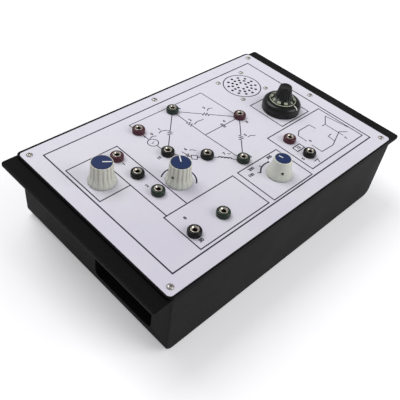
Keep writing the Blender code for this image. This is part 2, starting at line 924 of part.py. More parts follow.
# Loudspeaker: pressed frame with its magnet and fixing screws, and the paper cone
def speaker_screw_places():
    middle = on_panel(speaker_place_share)
    return [
        (middle[0] + side * speaker_screw_offset, middle[1] + end * speaker_screw_offset)
        for side in (-1, 1) for end in (-1, 1)
    ]


def build_speaker():
    flange_radius = speaker_screw_offset * math.sqrt(2) + speaker_screw_margin
    mouth = flange_radius - 2 * speaker_screw_margin
    throat = mouth * speaker_throat_share
    magnet = mouth * speaker_magnet_share
    top = seat_level
    bottom = top - speaker_depth
    throat_level = top - speaker_depth * speaker_basket_share
    profile = [
        (0, throat_level),
        (throat, throat_level),
        (mouth, top - 2 * speaker_sheet),
        (mouth, top),
        (flange_radius, top),
        (flange_radius, top - speaker_sheet),
        (mouth + speaker_sheet, top - 2 * speaker_sheet),
        (throat + speaker_sheet, throat_level - speaker_sheet),
        (magnet, throat_level - speaker_sheet),
        (magnet, bottom),
        (0, bottom),
    ]
    middle = (*on_panel(speaker_place_share), 0)
    frame = add_object("speaker_frame", turned_mesh("speaker_frame", profile, large_round_steps), "steel")
    place(frame, panel_frame, middle)
    screw_profile = domed_screw_profile(
        speaker_screw_head_radius, speaker_screw_head_height, speaker_screw_radius,
        top - speaker_sheet - joint_overlap)
    screw = turned_mesh("speaker_screw", screw_profile, shank_steps)
    for index, spot in enumerate(speaker_screw_places()):
        join(frame, place(add_object(f"speaker_screw_{index}", screw), panel_frame, (*spot, 0)))

    rim = mouth - seat_gap
    voice = throat * cone_voice_share
    cone_top = top - speaker_sheet
    voice_top = throat_level + (cone_top - throat_level) * cone_rise_share
    cone_profile = [
        (0, voice_top + voice * cone_dome_share),
        (voice, voice_top),
        (rim - 2 * cone_sheet, cone_top - cone_sheet),
        (rim - cone_sheet, cone_top),
        (rim, cone_top - cone_sheet),
        (rim, cone_top - 2 * cone_sheet),
        (voice + cone_sheet, voice_top - 2 * cone_sheet),
        (voice + cone_sheet, throat_level + seat_gap),
        (0, throat_level + seat_gap),
    ]
    cone = add_object("speaker_cone", turned_mesh("speaker_cone", cone_profile, large_round_steps), "paper")
    place(cone, panel_frame, middle)


# Circuit board with its parts, held under the panel by four pillars
def build_board():
    low = on_panel(board_low_share)
    high = on_panel(board_high_share)
    bottom = board_top - board_thickness
    board = add_box("circuit_board", (*low, bottom), (*high, board_top), panel_frame, "board_green")
    span = (high[0] - low[0], high[1] - low[1])
    pillar_profile = [
        (0, seat_level),
        (pillar_radius, seat_level),
        (pillar_radius, bottom - board_thickness),
        (0, bottom - board_thickness),
    ]
    pillar = turned_mesh("pillar", pillar_profile, shank_steps)
    for index, share in enumerate(pillar_place_shares):
        spot = (low[0] + span[0] * share[0], low[1] + span[1] * share[1], 0)
        join(board, place(add_object(f"pillar_{index}", pillar), panel_frame, spot))
    for index, (across, along, width, depth, height) in enumerate(board_part_shares):
        middle = (low[0] + span[0] * across, low[1] + span[1] * along)
        half = (span[0] * width / 2, span[1] * depth / 2)
        part_low = (middle[0] - half[0], middle[1] - half[1], bottom - board_drop * height)
        part_high = (middle[0] + half[0], middle[1] + half[1], bottom + joint_overlap)
        join(board, add_box(f"board_part_{index}", part_low, part_high, panel_frame))


def build_transformer():
    middle = on_panel(transformer_place_share)
    bottom = floor_level + seat_gap
    low = (middle[0] - core_width / 2, middle[1] - core_depth / 2, bottom)
    high = (middle[0] + core_width / 2, middle[1] + core_depth / 2, bottom + core_height)
    core = add_box("transformer", low, high, panel_frame, "steel")
    coil_size = (
        core_width - 2 * coil_margin, core_depth + 2 * coil_margin, core_height - 2 * coil_margin)
    coil = add_object("coil", box_mesh("coil", coil_size))
    rounding = coil.modifiers.new("Rounding", 'BEVEL')
    rounding.width = coil_rounding
    rounding.segments = corner_steps
    join(core, place(coil, panel_frame, (*middle, bottom + core_height / 2)))
    strap_low = (low[0] - strap_reach, low[1], bottom)
    strap_high = (high[0] + strap_reach, high[1], bottom + strap_thickness)
    join(core, add_box("strap", strap_low, strap_high, panel_frame))


# Mains inlet and power switch in the back wall
rear_level = case_underside * (1 - rear_height_share)


def rear_center(share):
    return (share - 0.5) * panel_width


def rear_cutout(name, share, width, height):
    middle = rear_center(share)
    low = (middle - width / 2, back_face - wall_thickness - cut_overrun, rear_level - height / 2)
    high = (middle + width / 2, back_face + cut_overrun, rear_level + height / 2)
    return add_box(name, low, high, panel_frame)


def rear_shell(name, share, width, height, depth, wall):
    # A box through the wall's cut-out with a bezel outside it, hollow from outside.
    middle = rear_center(share)
    face = bezel_face
    low = (middle - width / 2, face - depth, rear_level - height / 2)
    high = (middle + width / 2, face - bezel_thickness + joint_overlap, rear_level + height / 2)
    shell = add_box(name, low, high, panel_frame, "black")
    bezel_low = (low[0] - bezel_overlap, face - bezel_thickness, low[2] - bezel_overlap)
    bezel_high = (high[0] + bezel_overlap, face, high[2] + bezel_overlap)
    join(shell, add_box(name + "_bezel", bezel_low, bezel_high, panel_frame))
    hollow_low = (low[0] + wall, low[1] + wall, low[2] + wall)
    hollow_high = (high[0] - wall, face + cut_overrun, high[2] - wall)
    cut(shell, add_box(name + "_hollow", hollow_low, hollow_high, panel_frame))
    return shell


def build_inlet():
    inlet = rear_shell(
        "mains_inlet", inlet_place_share, inlet_width, inlet_height, inlet_depth, inlet_wall)
    middle = rear_center(inlet_place_share)
    back = bezel_face - inlet_depth
    for name, side, rise in (("live", -1, 0), ("earth", 0, 1), ("neutral", 1, 0)):
        across = middle + side * pin_spacing
        level = rear_level - pin_rise / 2 + rise * pin_rise
        low = (across - pin_thickness / 2, back - tab_length, level - pin_width / 2)
        high = (across + pin_thickness / 2, bezel_face - pin_thickness, level + pin_width / 2)
        join(inlet, add_box("pin_" + name, low, high, panel_frame))


def build_power_switch():
    share = switch_place_share
    housing = rear_shell("switch_housing", share, switch_width, switch_height, switch_depth, switch_wall)
    axis = new_empty("rocker_axis", panel_frame, (rear_center(share), rocker_pivot_face, rear_level))
    rocker_width = switch_width - 2 * switch_wall - 2 * seat_gap
    mesh = plate_mesh("power_rocker", [rocker_outline()], rocker_width)
    rocker = place(add_object("power_rocker", mesh, "black"), axis, rotation=(0, -math.pi / 2, 0))
    pin_reach = (rocker_width + switch_wall) / 2
    join(rocker, cross_pin("rocker_pins", axis, rocker_pin_radius, pin_reach))
    cut(housing, cross_pin("pin_holes", axis, rocker_pin_radius + seat_gap, pin_reach + seat_gap))


def cross_pin(name, axis, radius, reach):
    profile = [(0, reach), (radius, reach), (radius, -reach), (0, -reach)]
    pin = add_object(name, turned_mesh(name, profile, shank_steps))
    return place(pin, axis, rotation=(0, math.pi / 2, 0))


def build_controls():
    knob_sizes = (knob_height, knob_skirt_radius, knob_top_radius, knob_cap_radius, knob_flute_depth)
    selector_sizes = (
        selector_knob_height, selector_skirt_radius, selector_top_radius, selector_cap_radius, 0)
    columns = 2 * knob_flute_count
    fluted = (knob_sizes, knob_flank_shares, columns, set_screw_height)
    smooth_sided = (selector_sizes, selector_flank_shares, large_round_steps, selector_set_screw_height)
    supply = build_knob("supply", supply_place_share, *fluted, supply_pointer_turn)
    resistor = build_knob("resistor", resistor_place_share, *fluted, resistor_pointer_turn)
    selector = build_knob("selector", selector_place_share, *smooth_sided, selector_pointer_turn)
    dial = build_dial()
    pot = (control_radius, control_thickness, control_lug_turns)
    switch = (selector_radius, selector_thickness, selector_lug_turns)
    for name, share, (axis, shaft_top, flat_turn), body in (
            ("supply", supply_place_share, supply, pot),
            ("resistor", resistor_place_share, resistor, pot),
            ("selector", selector_place_share, selector, switch),
            ("dial", dial_place_share, dial, pot)):
        shaft_bottom = build_control(name + "_control", share, *body)
        build_shaft(name + "_shaft", axis, shaft_bottom, shaft_top, flat_turn)


build_case()
build_panel()
build_panel_screws()
build_sockets()
build_controls()
build_speaker()
build_board()
build_transformer()
build_inlet()
build_power_switch()
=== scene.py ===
import json
from math import atan2, cos, degrees, pi, radians, sin, tan

import bmesh
import bpy
from mathutils import Matrix, Quaternion, Vector


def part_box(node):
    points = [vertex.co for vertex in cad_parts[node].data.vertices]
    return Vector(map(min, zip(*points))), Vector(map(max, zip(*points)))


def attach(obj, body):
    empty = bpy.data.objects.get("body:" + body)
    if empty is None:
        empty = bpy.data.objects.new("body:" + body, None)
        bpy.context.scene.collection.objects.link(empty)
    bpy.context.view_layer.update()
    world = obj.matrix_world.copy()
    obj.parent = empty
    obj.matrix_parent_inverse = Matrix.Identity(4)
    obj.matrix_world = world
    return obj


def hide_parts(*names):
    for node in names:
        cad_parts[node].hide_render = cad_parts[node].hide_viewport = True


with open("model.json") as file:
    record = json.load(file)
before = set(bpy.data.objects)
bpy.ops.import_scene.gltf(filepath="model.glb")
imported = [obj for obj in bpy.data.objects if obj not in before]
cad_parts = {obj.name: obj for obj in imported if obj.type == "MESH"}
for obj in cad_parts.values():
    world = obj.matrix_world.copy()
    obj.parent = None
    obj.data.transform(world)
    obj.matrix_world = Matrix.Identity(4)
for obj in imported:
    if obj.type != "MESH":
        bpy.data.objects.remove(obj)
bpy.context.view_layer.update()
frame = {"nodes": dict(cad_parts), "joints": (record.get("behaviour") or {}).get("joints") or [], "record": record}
mm = 0.001
panelLow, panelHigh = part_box("front_panel")
jointPlace = {joint["name"]: Vector(joint["pos_m"]) for joint in frame["joints"]}
print("frame loaded")


def nodeMiddle(name):
    low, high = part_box(name)
    return (low + high) / 2


def boxSize(name):
    # A node's width, depth and height in millimetres.
    return [(high - low) / mm for low, high in zip(*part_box(name))]


def onPanel(place):
    # The point of the panel's top face that is over or under a place.
    return Vector((place.x, place.y, panelHigh.z))


def flatSpot(place, origin=panelLow):
    # Millimetres across and along the panel, from its front left corner or another place.
    return ((place.x - origin.x) / mm, (place.y - origin.y) / mm)


def inScene(name, data):
    item = bpy.data.objects.new(name, data)
    bpy.context.scene.collection.objects.link(item)
    return item


class Look(dict):
    # A dictionary whose values are also read as look.name.
    __getattr__ = dict.__getitem__


def picked(look, keys):
    return [look[key] for key in keys.split()]


panelMiddle = nodeMiddle("front_panel")
panelWidth, panelDepth, panelThickness = boxSize("front_panel")
grillePlace = nodeMiddle("speaker_cone")


# Shader maths
def tint(color):
    # A colour as seen on a screen, 0 to 255, in the linear values that shaders take.
    return tuple(
        ((part / 255 + 0.055) / 1.055) ** 2.4 if part > 10 else part / 3295 for part in color) + (1.0,)


class Wire:
    # Wraps a node's output, so that shader maths is written as an expression.
    def __init__(self, socket):
        self.socket = socket

    def node(self, kind, values, output=0, **settings):
        tree = self.socket.id_data
        made = tree.nodes.new("ShaderNode" + kind)
        for name, value in settings.items():
            setattr(made, name, value)
        for name, value in values.items():
            if isinstance(value, Wire):
                tree.links.new(value.socket, made.inputs[name])
            else:
                made.inputs[name].default_value = value
        return Wire(made.outputs[output]) if made.outputs else None

    def maths(self, operation, second=0.0):
        return self.node("Math", {0: self, 1: second}, operation=operation)

    def __add__(self, other):
        return self.maths("ADD", other)

    def __rsub__(self, other):
        return self.node("Math", {0: other, 1: self}, operation="SUBTRACT")

    def __mul__(self, other):
        return self.maths("MULTIPLY", other)

    def measure(self, operation, other=(0.0, 0.0, 0.0)):
        # A number from two places: their distance, or their dot product.
        return self.node("VectorMath", {0: self, 1: other}, 1, operation=operation)

    def clamped(self):
        return self.node("Clamp", {"Value": self})

    def blend(self, *colors):
        # Goes from the first colour to the second as this value goes from 0 to 1.
        first, second = (color if isinstance(color, Wire) else tint(color) for color in colors)
        return self.node("Mix", {0: self, 6: first, 7: second}, 2, data_type="RGBA")

    def grain(self, size, detail=2.0, roughness=0.5):
        # Soft noise from 0 to 1 whose spots are about as large as size, in millimetres.
        values = {"Vector": self, "Scale": 1 / (size * mm), "Detail": detail, "Roughness": roughness}
        return self.node("TexNoise", values)

    def band(self, low, high):
        # 0 below low and 1 above high, with a smooth step between.
        values = {"Value": self, "From Min": low, "From Max": high}
        return self.node("MapRange", values, interpolation_type="SMOOTHSTEP")

    def spread(self, low, high):
        # From low to high while this value goes through its middle range.
        return self.band(0.3, 0.7) * (high - low) + low

    def parts(self):
        # The three coordinates of a place.
        return [Wire(output) for output in self.node("SeparateXYZ", {"Vector": self}).socket.node.outputs]


def madeFinish(name, recipe, look):
    # A recipe gives colour, roughness, relief with its depth in millimetres, and any further values.
    finish = bpy.data.materials.new(name)
    finish.use_nodes = True
    finish.node_tree.nodes.clear()
    place = Wire(finish.node_tree.nodes.new("ShaderNodeTexCoord").outputs["Object"])
    color, rough, relief, depth, more = recipe(place, look)
    values = {"Base Color": color, "Roughness": rough, **more}
    if relief:
        values["Normal"] = place.node("Bump", {"Height": relief, "Strength": 1.0, "Distance": depth * mm})
    place.node("OutputMaterial", {"Surface": place.node("BsdfPrincipled", values)})
    return finish


# Moulded plastics: colour, its mottled partner, gloss, and the mould's fine relief, and for the case a painted
# sheen that lightens its walls and edges
glossy = Look(spot=0.8, rough=(0.20, 0.32), relief=0.35, depth=0.006, specular=0.25, coat=0.05)
plastics = {
    "case_plastic": Look(
        color=(8, 8, 8), mottle=(18, 18, 19), spot=1.3, rough=(0.50, 0.66),
        # Its last three values paint a sheen: lighter walls below the ledges, a lighter right end and left ledge
        # edge.
        relief=0.45, depth=0.035, specular=0.06, coat=0.0, dusty=((16, 16, 17), (38, 38, 38)),
        dustLevel=(-4 * mm, -7 * mm), dustSides=((135 * mm, 153 * mm), (-164.7 * mm, -165.6 * mm))),
    "black_plastic": Look(
        color=(9, 11, 11), mottle=(18, 20, 18), spot=0.5, rough=(0.26, 0.40),
        relief=0.30, depth=0.008, specular=0.22, coat=0.0),
    "dial_black": Look(
        color=(11, 12, 12), mottle=(22, 25, 20), spot=0.5, rough=(0.24, 0.36),
        relief=0.30, depth=0.008, specular=0.30, coat=0.0),
    "maroon_plastic": Look(color=(68, 27, 38), mottle=(82, 40, 52), **glossy),
    "green_plastic": Look(color=(26, 42, 32), mottle=(38, 54, 44), **glossy),
    "knob_blue": Look(
        color=(26, 43, 86), mottle=(34, 51, 98), spot=0.9, rough=(0.40, 0.52),
        relief=0.30, depth=0.010, specular=0.22, coat=0.0),
}


def mouldedPlastic(place, look):
    fine = place.grain(look.spot, 4.0, 0.6)
    broad = place.grain(look.spot * 40)
    worn = (fine * 0.65 + broad * 0.35).band(0.38, 0.66)
    color = worn.blend(look.color, look.mottle)
    # Painted sheen: the walls below the ledges, the right end and the left ledge's outer edge are painted lighter,
    # where light falls on them.
    if "dusty" in look:
        across, _, height = place.parts()
        sheen = height.band(*look.dustLevel)
        for side in look.dustSides:
            sheen = sheen + across.band(*side)
        color = sheen.clamped().blend(color, worn.blend(*look.dusty))
    rough = (broad * 0.6 + fine * 0.4).spread(*look.rough)
    more = {"Specular IOR Level": look.specular, "Coat Weight": look.coat, "Coat Roughness": 0.2}
    return color, rough, place.grain(look.relief, 2.0, 0.55), look.depth, more


# Printed inks: worn thin in small spots
inks = {
    "ink_dark": Look(color=(28, 28, 44), thin=(50, 50, 70), rough=0.5),
    "ink_pale": Look(color=(232, 234, 230), thin=(206, 210, 204), rough=0.45),
    "ink_dial": Look(color=(196, 202, 176), thin=(156, 164, 138), rough=0.5),
}


def printedInk(place, look):
    thin = place.grain(0.9, 3.0, 0.6).band(0.48, 0.75)
    color = thin.blend(look.color, look.thin)
    return color, thin * 0.15 + look.rough, place.grain(0.25), 0.004, {"Specular IOR Level": 0.35}


# Metals: turned rings about each piece's own axis, or a plain fine brushing
metals = {
    "nickel": Look(color=(200, 194, 182), dull=(146, 138, 124), rough=(0.16, 0.34), rings=1.0),
    "steel": Look(color=(190, 190, 190), dull=(138, 138, 140), rough=(0.26, 0.44), rings=0.4),
    "screw_steel": Look(color=(186, 182, 176), dull=(132, 128, 122), rough=(0.34, 0.52), rings=0.3),
    "dark_steel": Look(color=(62, 58, 56), dull=(40, 38, 38), rough=(0.34, 0.50), rings=0.4),
    "core_steel": Look(color=(96, 92, 88), dull=(62, 58, 56), rough=(0.40, 0.60), rings=0.0),
}


def turnedMetal(place, look):
    values = {"Vector": place, "Scale": 900.0, "Distortion": 0.6, "Detail": 2.0}
    turned = place.node("TexWave", values, 1, wave_type="RINGS", rings_direction="Z")
    dull = place.grain(1.4, 4.0, 0.6)
    color = dull.band(0.45, 0.75).blend(look.color, look.dull)
    relief = turned * look.rings + place.grain(0.12, 2.0, 0.6) * 0.5
    return color, dull.spread(*look.rough), relief, 0.004, {"Metallic": 1.0}


# Inner pieces: the board's lacquer and the loudspeaker's paper
innerLooks = {
    "board_green": Look(color=(20, 92, 48), spot=(32, 116, 62), size=2.5, rough=0.35),
    "paper": Look(color=(52, 48, 44), spot=(74, 69, 62), size=0.6, rough=0.85),
}


def innerPiece(place, look):
    spots = place.grain(look.size, 4.0, 0.65)
    color = spots.band(0.4, 0.7).blend(look.color, look.spot)
    return color, spots * 0.15 + look.rough, spots, 0.05, {}


# The panel's pale laminate, with a painted sheen that makes it paler toward the back right, faint streaks, soft
# stains and an orange peel.
# The grille's holes are painted dark inside, as painted shade.
panelLooks = {"panel_print": Look(
    color=(213, 209, 222), warm=(218, 216, 222), stain=(200, 196, 208),
    fresh=(230, 228, 237), slant=(2.0, 2.0, 0.0), freshBand=(-0.4, 0.3),
    rough=(0.30, 0.44), peel=1.6, peelDepth=0.010, streak=14, stretch=(1.0, 0.12, 1.0),
    soot=(18, 18, 20), sootLevel=(-0.2 * mm, -0.5 * mm), sootReach=(19 * mm, 18 * mm))}


def panelLaminate(place, look):
    streak = place.node("Mapping", {"Vector": place, "Scale": look.stretch}).grain(look.streak, 3.0, 0.6)
    cloud = place.grain(11, 4.0, 0.6)
    spot = grillePlace - panelMiddle
    inGrille = place.measure("DISTANCE", (spot.x, spot.y, 0)).band(*look.sootReach)
    base = place.grain(95).band(0.35, 0.65).blend(look.color, look.warm)
    # Painted sheen: paler toward the back right.
    base = place.measure("DOT_PRODUCT", look.slant).band(*look.freshBand).blend(base, look.fresh)
    base = ((cloud * 0.6 + streak * 0.4).band(0.50, 0.78) * 0.35).blend(base, look.stain)
    base = (place.grain(0.5).band(0.62, 0.80) * 0.10).blend(base, look.stain)
    # Painted shade: darker inside the grille's holes.
    base = (place.parts()[2].band(*look.sootLevel) * inGrille).blend(base, look.soot)
    more = {"Specular IOR Level": 0.45}
    return base, cloud.spread(*look.rough), place.grain(look.peel), look.peelDepth, more


# Knob bodies: pale grey plastic, with painted shade that makes them a little darker and browner down in the flutes
knobGrey = Look(
    rib=(220, 222, 210), groove=(186, 178, 160), foot=(204, 207, 196), footBand=(1 * mm, 9 * mm),
    grooveBand=(4 * mm, 10 * mm), rough=(0.38, 0.52))
knobLooks = {
    "knob_grey": Look(flutes=16, worn=0.85, **knobGrey), "knob_smooth": Look(flutes=0, worn=0.25, **knobGrey)}


def knobPlastic(place, look):
    across, along, height = place.parts()
    wave = (along.maths("ARCTAN2", across) * look.flutes).maths("COSINE")
    cloud = place.grain(6, 4.0, 0.6)
    # Painted shade: darker and browner down in the flutes.
    groove = (0.5 - wave * 0.5).maths("POWER", 2.0) * height.band(*look.grooveBand) * cloud.band(0.2, 0.5)
    body = height.band(*look.footBand).blend(look.foot, look.rib)
    color = (groove * look.worn).blend(body, look.groove)
    more = {"Specular IOR Level": 0.4, "Subsurface Weight": 0.06}
    more.update({"Subsurface Radius": (1.0, 0.9, 0.7), "Subsurface Scale": 2 * mm})
    return color, cloud.spread(*look.rough), place.grain(0.4, 3.0, 0.6), 0.012, more


finishes = {}
for recipe, looks in (
        (mouldedPlastic, plastics), (printedInk, inks), (turnedMetal, metals), (innerPiece, innerLooks),
        (panelLaminate, panelLooks), (knobPlastic, knobLooks)):
    for name, look in looks.items():
        finishes[name] = madeFinish(name, recipe, look)
for part in frame["record"]["subparts"]:
    for holder in frame["nodes"][part["node"]].material_slots:
        holder.material = finishes[part["material_slot"]]
print("finishes made")


# Mesh tools, in millimetres
def bakedMesh(item):
    # The evaluated mesh of a scratch object, which is then removed.
    bpy.context.view_layer.update()
    mesh = bpy.data.meshes.new_from_object(item.evaluated_get(bpy.context.evaluated_depsgraph_get()))
    bpy.data.objects.remove(item)
    return mesh


def modified(mesh, *steps):
    # The mesh after some modifiers, each a kind with its settings.
    item = inScene("scratch", mesh)
    for kind, settings in steps:
        step = item.modifiers.new("Step", kind)
        for name, value in settings.items():
            setattr(step, name, value)
    return bakedMesh(item)


def evened(mesh, sharp=32):
    # Shades a mesh smooth, with its flat faces kept flat.
    mesh.shade_smooth()
    mesh.set_sharp_from_angle(angle=radians(sharp))
    return modified(mesh, ("WEIGHTED_NORMAL", {"keep_sharp": True, "weight": 100}))


def softened(mesh, width, segments=2, angle=40):
    # Rounds the mesh's sharp edges.
    limit = {"limit_method": "ANGLE", "angle_limit": radians(angle)}
    return evened(modified(mesh, ("BEVEL", {"width": width * mm, "segments": segments, **limit})))


def combined(mesh, tools, operation="DIFFERENCE"):
    # One mesh cut by others, or joined to them.
    helpers = [inScene("tool", tool) for tool in tools]
    settings = {"operation": operation, "solver": "EXACT"}
    made = modified(mesh, *(("BOOLEAN", {"object": helper, **settings}) for helper in helpers))
    for helper in helpers:
        bpy.data.objects.remove(helper)
    return evened(made)


def newMesh(name, work, sharp=32):
    bmesh.ops.remove_doubles(work, verts=work.verts, dist=0.0005 * mm)
    bmesh.ops.dissolve_degenerate(work, edges=work.edges, dist=0.001 * mm)
    bmesh.ops.recalc_face_normals(work, faces=work.faces)
    mesh = bpy.data.meshes.new(name)
    work.to_mesh(mesh)
    work.free()
    return evened(mesh, sharp)


def skin(work, rows, ring=False, ends=False):
    # Joins rows of points with faces; a row of one point closes to a tip, and ends get a flat face each.
    made = [[work.verts.new(Vector(point) * mm) for point in row] for row in rows]
    pairs = list(zip(made, made[1:]))
    if ring:
        pairs.append((made[-1], made[0]))
    for upper, lower in pairs:
        steps = max(len(upper), len(lower))
        for index in range(steps):
            after = (index + 1) % steps
            corners = list(dict.fromkeys([
                upper[index % len(upper)], lower[index % len(lower)],
                lower[after % len(lower)], upper[after % len(upper)]]))
            if len(corners) > 2:
                work.faces.new(corners)
    if ends:
        work.faces.new(made[0])
        work.faces.new(made[-1])


def skinMesh(name, rows, ring=False, ends=False):
    work = bmesh.new()
    skin(work, rows, ring, ends)
    return newMesh(name, work)


def loftedMesh(name, rows):
    return skinMesh(name, rows, ends=True)


def around(radius, steps, height=0.0, center=(0, 0), flutes=0, depth=0.0, power=1.0):
    # A ring of points, with any flutes cut in to a depth.
    points = []
    for index in range(steps):
        turn = 2 * pi * index / steps
        size = radius - depth * (0.5 - 0.5 * cos(flutes * turn)) ** power
        points.append((center[0] + size * cos(turn), center[1] + size * sin(turn), height))
    return points


def turnedMesh(name, profile, steps=72, ring=False):
    # A profile of (radius, height) points turned about the upright axis.
    rows = [around(radius, steps, height) if radius > 0 else [(0, 0, height)] for radius, height in profile]
    return skinMesh(name, rows, ring)


def quarter(steps, first=0):
    # The angles of a quarter turn.
    return [pi / 2 * index / steps for index in range(first, steps + 1)]


def filleted(corners, closed=False, steps=5):
    # An outline whose corners are rounded by their third number.
    points = []
    count = len(corners)
    for index, corner in enumerate(corners):
        spot = Vector(corner[:2])
        inner = closed or 0 < index < count - 1
        if len(corner) < 3 or not inner:
            points.append(tuple(spot))
            continue
        before = (Vector(corners[index - 1][:2]) - spot).normalized()
        after = (Vector(corners[(index + 1) % count][:2]) - spot).normalized()
        half = before.angle(after) / 2
        center = spot + (before + after).normalized() * corner[2] / sin(half)
        first = spot + before * corner[2] / tan(half) - center
        last = spot + after * corner[2] / tan(half) - center
        sweep = first.angle(last)
        for step in range(steps + 1):
            share = step / steps
            arm = (first * sin((1 - share) * sweep) + last * sin(share * sweep)) / sin(sweep)
            points.append(tuple(center + arm))
    return points


def rectangle(low, high, level=0.0):
    x0, y0, x1, y1 = *low[:2], *high[:2]
    return [(x0, y0, level), (x1, y0, level), (x1, y1, level), (x0, y1, level)]


def roundedBox(width, depth, corner, middle=(0, 0), steps=6):
    x, y = width / 2, depth / 2
    outline = filleted([(x, -y, corner), (x, y, corner), (-x, y, corner), (-x, -y, corner)], True, steps)
    return [(middle[0] + a, middle[1] + b) for a, b in outline]


def blockMesh(low, high):
    return loftedMesh("block", [rectangle(low, high, level) for level in (low[2], high[2])])


def plateMesh(name, outlines, low, high):
    # A flat outline with any further outlines as holes, between two heights.
    curve = bpy.data.curves.new(name, "CURVE")
    curve.dimensions = "2D"
    curve.fill_mode = "BOTH"
    curve.extrude = (high - low) / 2 * mm
    for outline in outlines:
        spline = curve.splines.new("POLY")
        spline.points.add(len(outline) - 1)
        for point, spot in zip(spline.points, outline):
            point.co = (spot[0] * mm, spot[1] * mm, 0, 1)
        spline.use_cyclic_u = True
    work = bmesh.new()
    work.from_mesh(bakedMesh(inScene(name, curve)))
    bmesh.ops.translate(work, verts=work.verts, vec=(0, 0, (low + high) / 2 * mm))
    return newMesh(name, work)


def easedPlate(width, depth, corner, low, high, ease):
    # A plate with round corners and a rounded upper edge.
    rows = [[(x, y, low) for x, y in roundedBox(width, depth, corner)]]
    for turn in quarter(4):
        draw = ease * (1 - cos(turn))
        outline = roundedBox(width - 2 * draw, depth - 2 * draw, corner - draw)
        rows.append([(x, y, high - ease * (1 - sin(turn))) for x, y in outline])
    return loftedMesh("plate", rows)


def spun(mesh, turn):
    # Turns a mesh about the upright axis, in degrees.
    mesh.transform(Matrix.Rotation(radians(turn), 4, "Z"))
    return mesh


def shifted(mesh, x, y):
    mesh.transform(Matrix.Translation((x * mm, y * mm, 0)))
    return mesh


def addPiece(name, mesh, place, finish, slot=None, body="root", stands=None):
    # A visible piece that rides on a body and may stand for a CAD node.
    piece = inScene(name, mesh)
    piece.location = place
    mesh.materials.clear()
    mesh.materials.append(finishes[finish])
    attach(piece, body)
    slot or finish
    if stands:
        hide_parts(stands)


# The case: a tub with two side ledges, a rim round the panel and a finger pocket in each side.
# Cutting tools reach past the surfaces that they cut.
caseLook = Look(
    wall=3.0, floor=3.0, overhang=1.8, setback=1.3, sideRound=8.0, endRound=1.5,
    rimDrop=0.15, backLip=0.8, rimEase=0.25, rimCorner=5.0, recessCorner=3.9, seatGap=0.3,
    ledgeReach=16.25, ledgeDrop=2.4, ledgeThickness=3.1, ledgeCorner=3.0, ledgeEdge=1.1,
    padRadius=9.0, padHeight=2.0, padEdge=0.5, padInset=22.0, padRoot=1.0,
    pocketLength=72.0, pocketHeight=24.0, pocketDepth=15.0, pocketCorner=5.5, pocketShell=2.5,
    pocketInset=17.5, pocketDrop=62.6, bezelLap=1.7, past=2.0)
fourCorners = ((-1, -1), (-1, 1), (1, -1), (1, 1))


def tubMesh(width, depth, low, high, sideRound, endRound):
    # A trough along Y: round lower edges, and its end faces rounded into them.
    rows = []
    ends = [(endRound * (1 - cos(turn)) - depth / 2, endRound * (1 - sin(turn))) for turn in quarter(8)]
    for y, draw in dict.fromkeys(ends + [(-y, draw) for y, draw in ends[::-1]]):
        half = width / 2 - draw
        edge = sideRound - draw
        corners = [(half, high), (half, low + draw, edge), (-half, low + draw, edge), (-half, high)]
        rows.append([(x, y, z) for x, z in filleted(corners, True, 10)])
    return loftedMesh("tub", rows)


def buildCase():
    look = caseLook
    wall, past, gap, lap, shell = picked(look, "wall past seatGap bezelLap pocketShell")
    low = (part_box("case")[0].z - panelHigh.z) / mm
    under = low + look.padHeight
    seat = -panelThickness - gap
    tubWidth = panelWidth - 2 * look.setback
    tubDepth = panelDepth + 2 * look.overhang
    body = tubMesh(tubWidth, tubDepth, under, -look.rimDrop, look.sideRound, look.endRound)

    depth = tubDepth + look.backLip
    ledgeTop = -look.ledgeDrop
    ledgeLow = ledgeTop - look.ledgeThickness
    rimLow = (ledgeTop + ledgeLow) / 2
    plates = [
        (look.ledgeReach, look.ledgeCorner, ledgeLow, ledgeTop, look.ledgeEdge),
        (look.overhang, look.rimCorner, rimLow, -look.rimDrop, look.rimEase)]
    plates = [easedPlate(panelWidth + 2 * reach, depth, *sizes) for reach, *sizes in plates]

    pocket = (
        look.pocketInset + (look.pocketLength - panelDepth) / 2, look.pocketHeight / 2 - look.pocketDrop)
    additions, cuts = [], []
    for side in (-1, 1):
        for made, margin, outer in (
                (additions, shell, tubWidth / 2 - wall / 2), (cuts, 0, tubWidth / 2 + past)):
            inner = tubWidth / 2 - look.pocketDepth - margin
            outline = roundedBox(
                look.pocketLength + 2 * margin, look.pocketHeight + 2 * margin,
                look.pocketCorner + margin, pocket)
            rows = [[(side * x, y, z) for y, z in outline] for x in (inner, outer)]
            made.append(loftedMesh("pocket", rows))
    for name in ("mains_inlet", "switch_housing"):
        start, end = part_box(name)
        cuts.append(blockMesh(
            (start.x / mm + lap, tubDepth / 2 - wall - past, (start.z - panelHigh.z) / mm + lap),
            (end.x / mm - lap, tubDepth / 2 + past, (end.z - panelHigh.z) / mm - lap)))
    radius, root = look.padRadius, under + look.padRoot
    for side, end in fourCorners:
        profile = [(0, low), (radius, low, look.padEdge), (radius, root), (0, root)]
        pad = turnedMesh("pad", filleted(profile), 48)
        spot = (side * (tubWidth / 2 - look.padInset), end * (tubDepth / 2 - look.padInset))
        additions.append(shifted(pad, *spot))

    cavity = tubMesh(
        tubWidth - 2 * wall, tubDepth - 2 * wall, under + look.floor, seat + past, look.sideRound - wall, 0)
    opening = roundedBox(panelWidth + 2 * gap, panelDepth + 2 * gap, look.recessCorner)
    body = combined(body, [shifted(plate, 0, look.backLip / 2) for plate in plates], "UNION")
    body = combined(combined(body, [cavity]), additions, "UNION")
    body = combined(body, [plateMesh("recess", [opening], seat, past)] + cuts)
    addPiece("moulded_case", body, onPanel(panelMiddle), "case_plastic", stands="case")


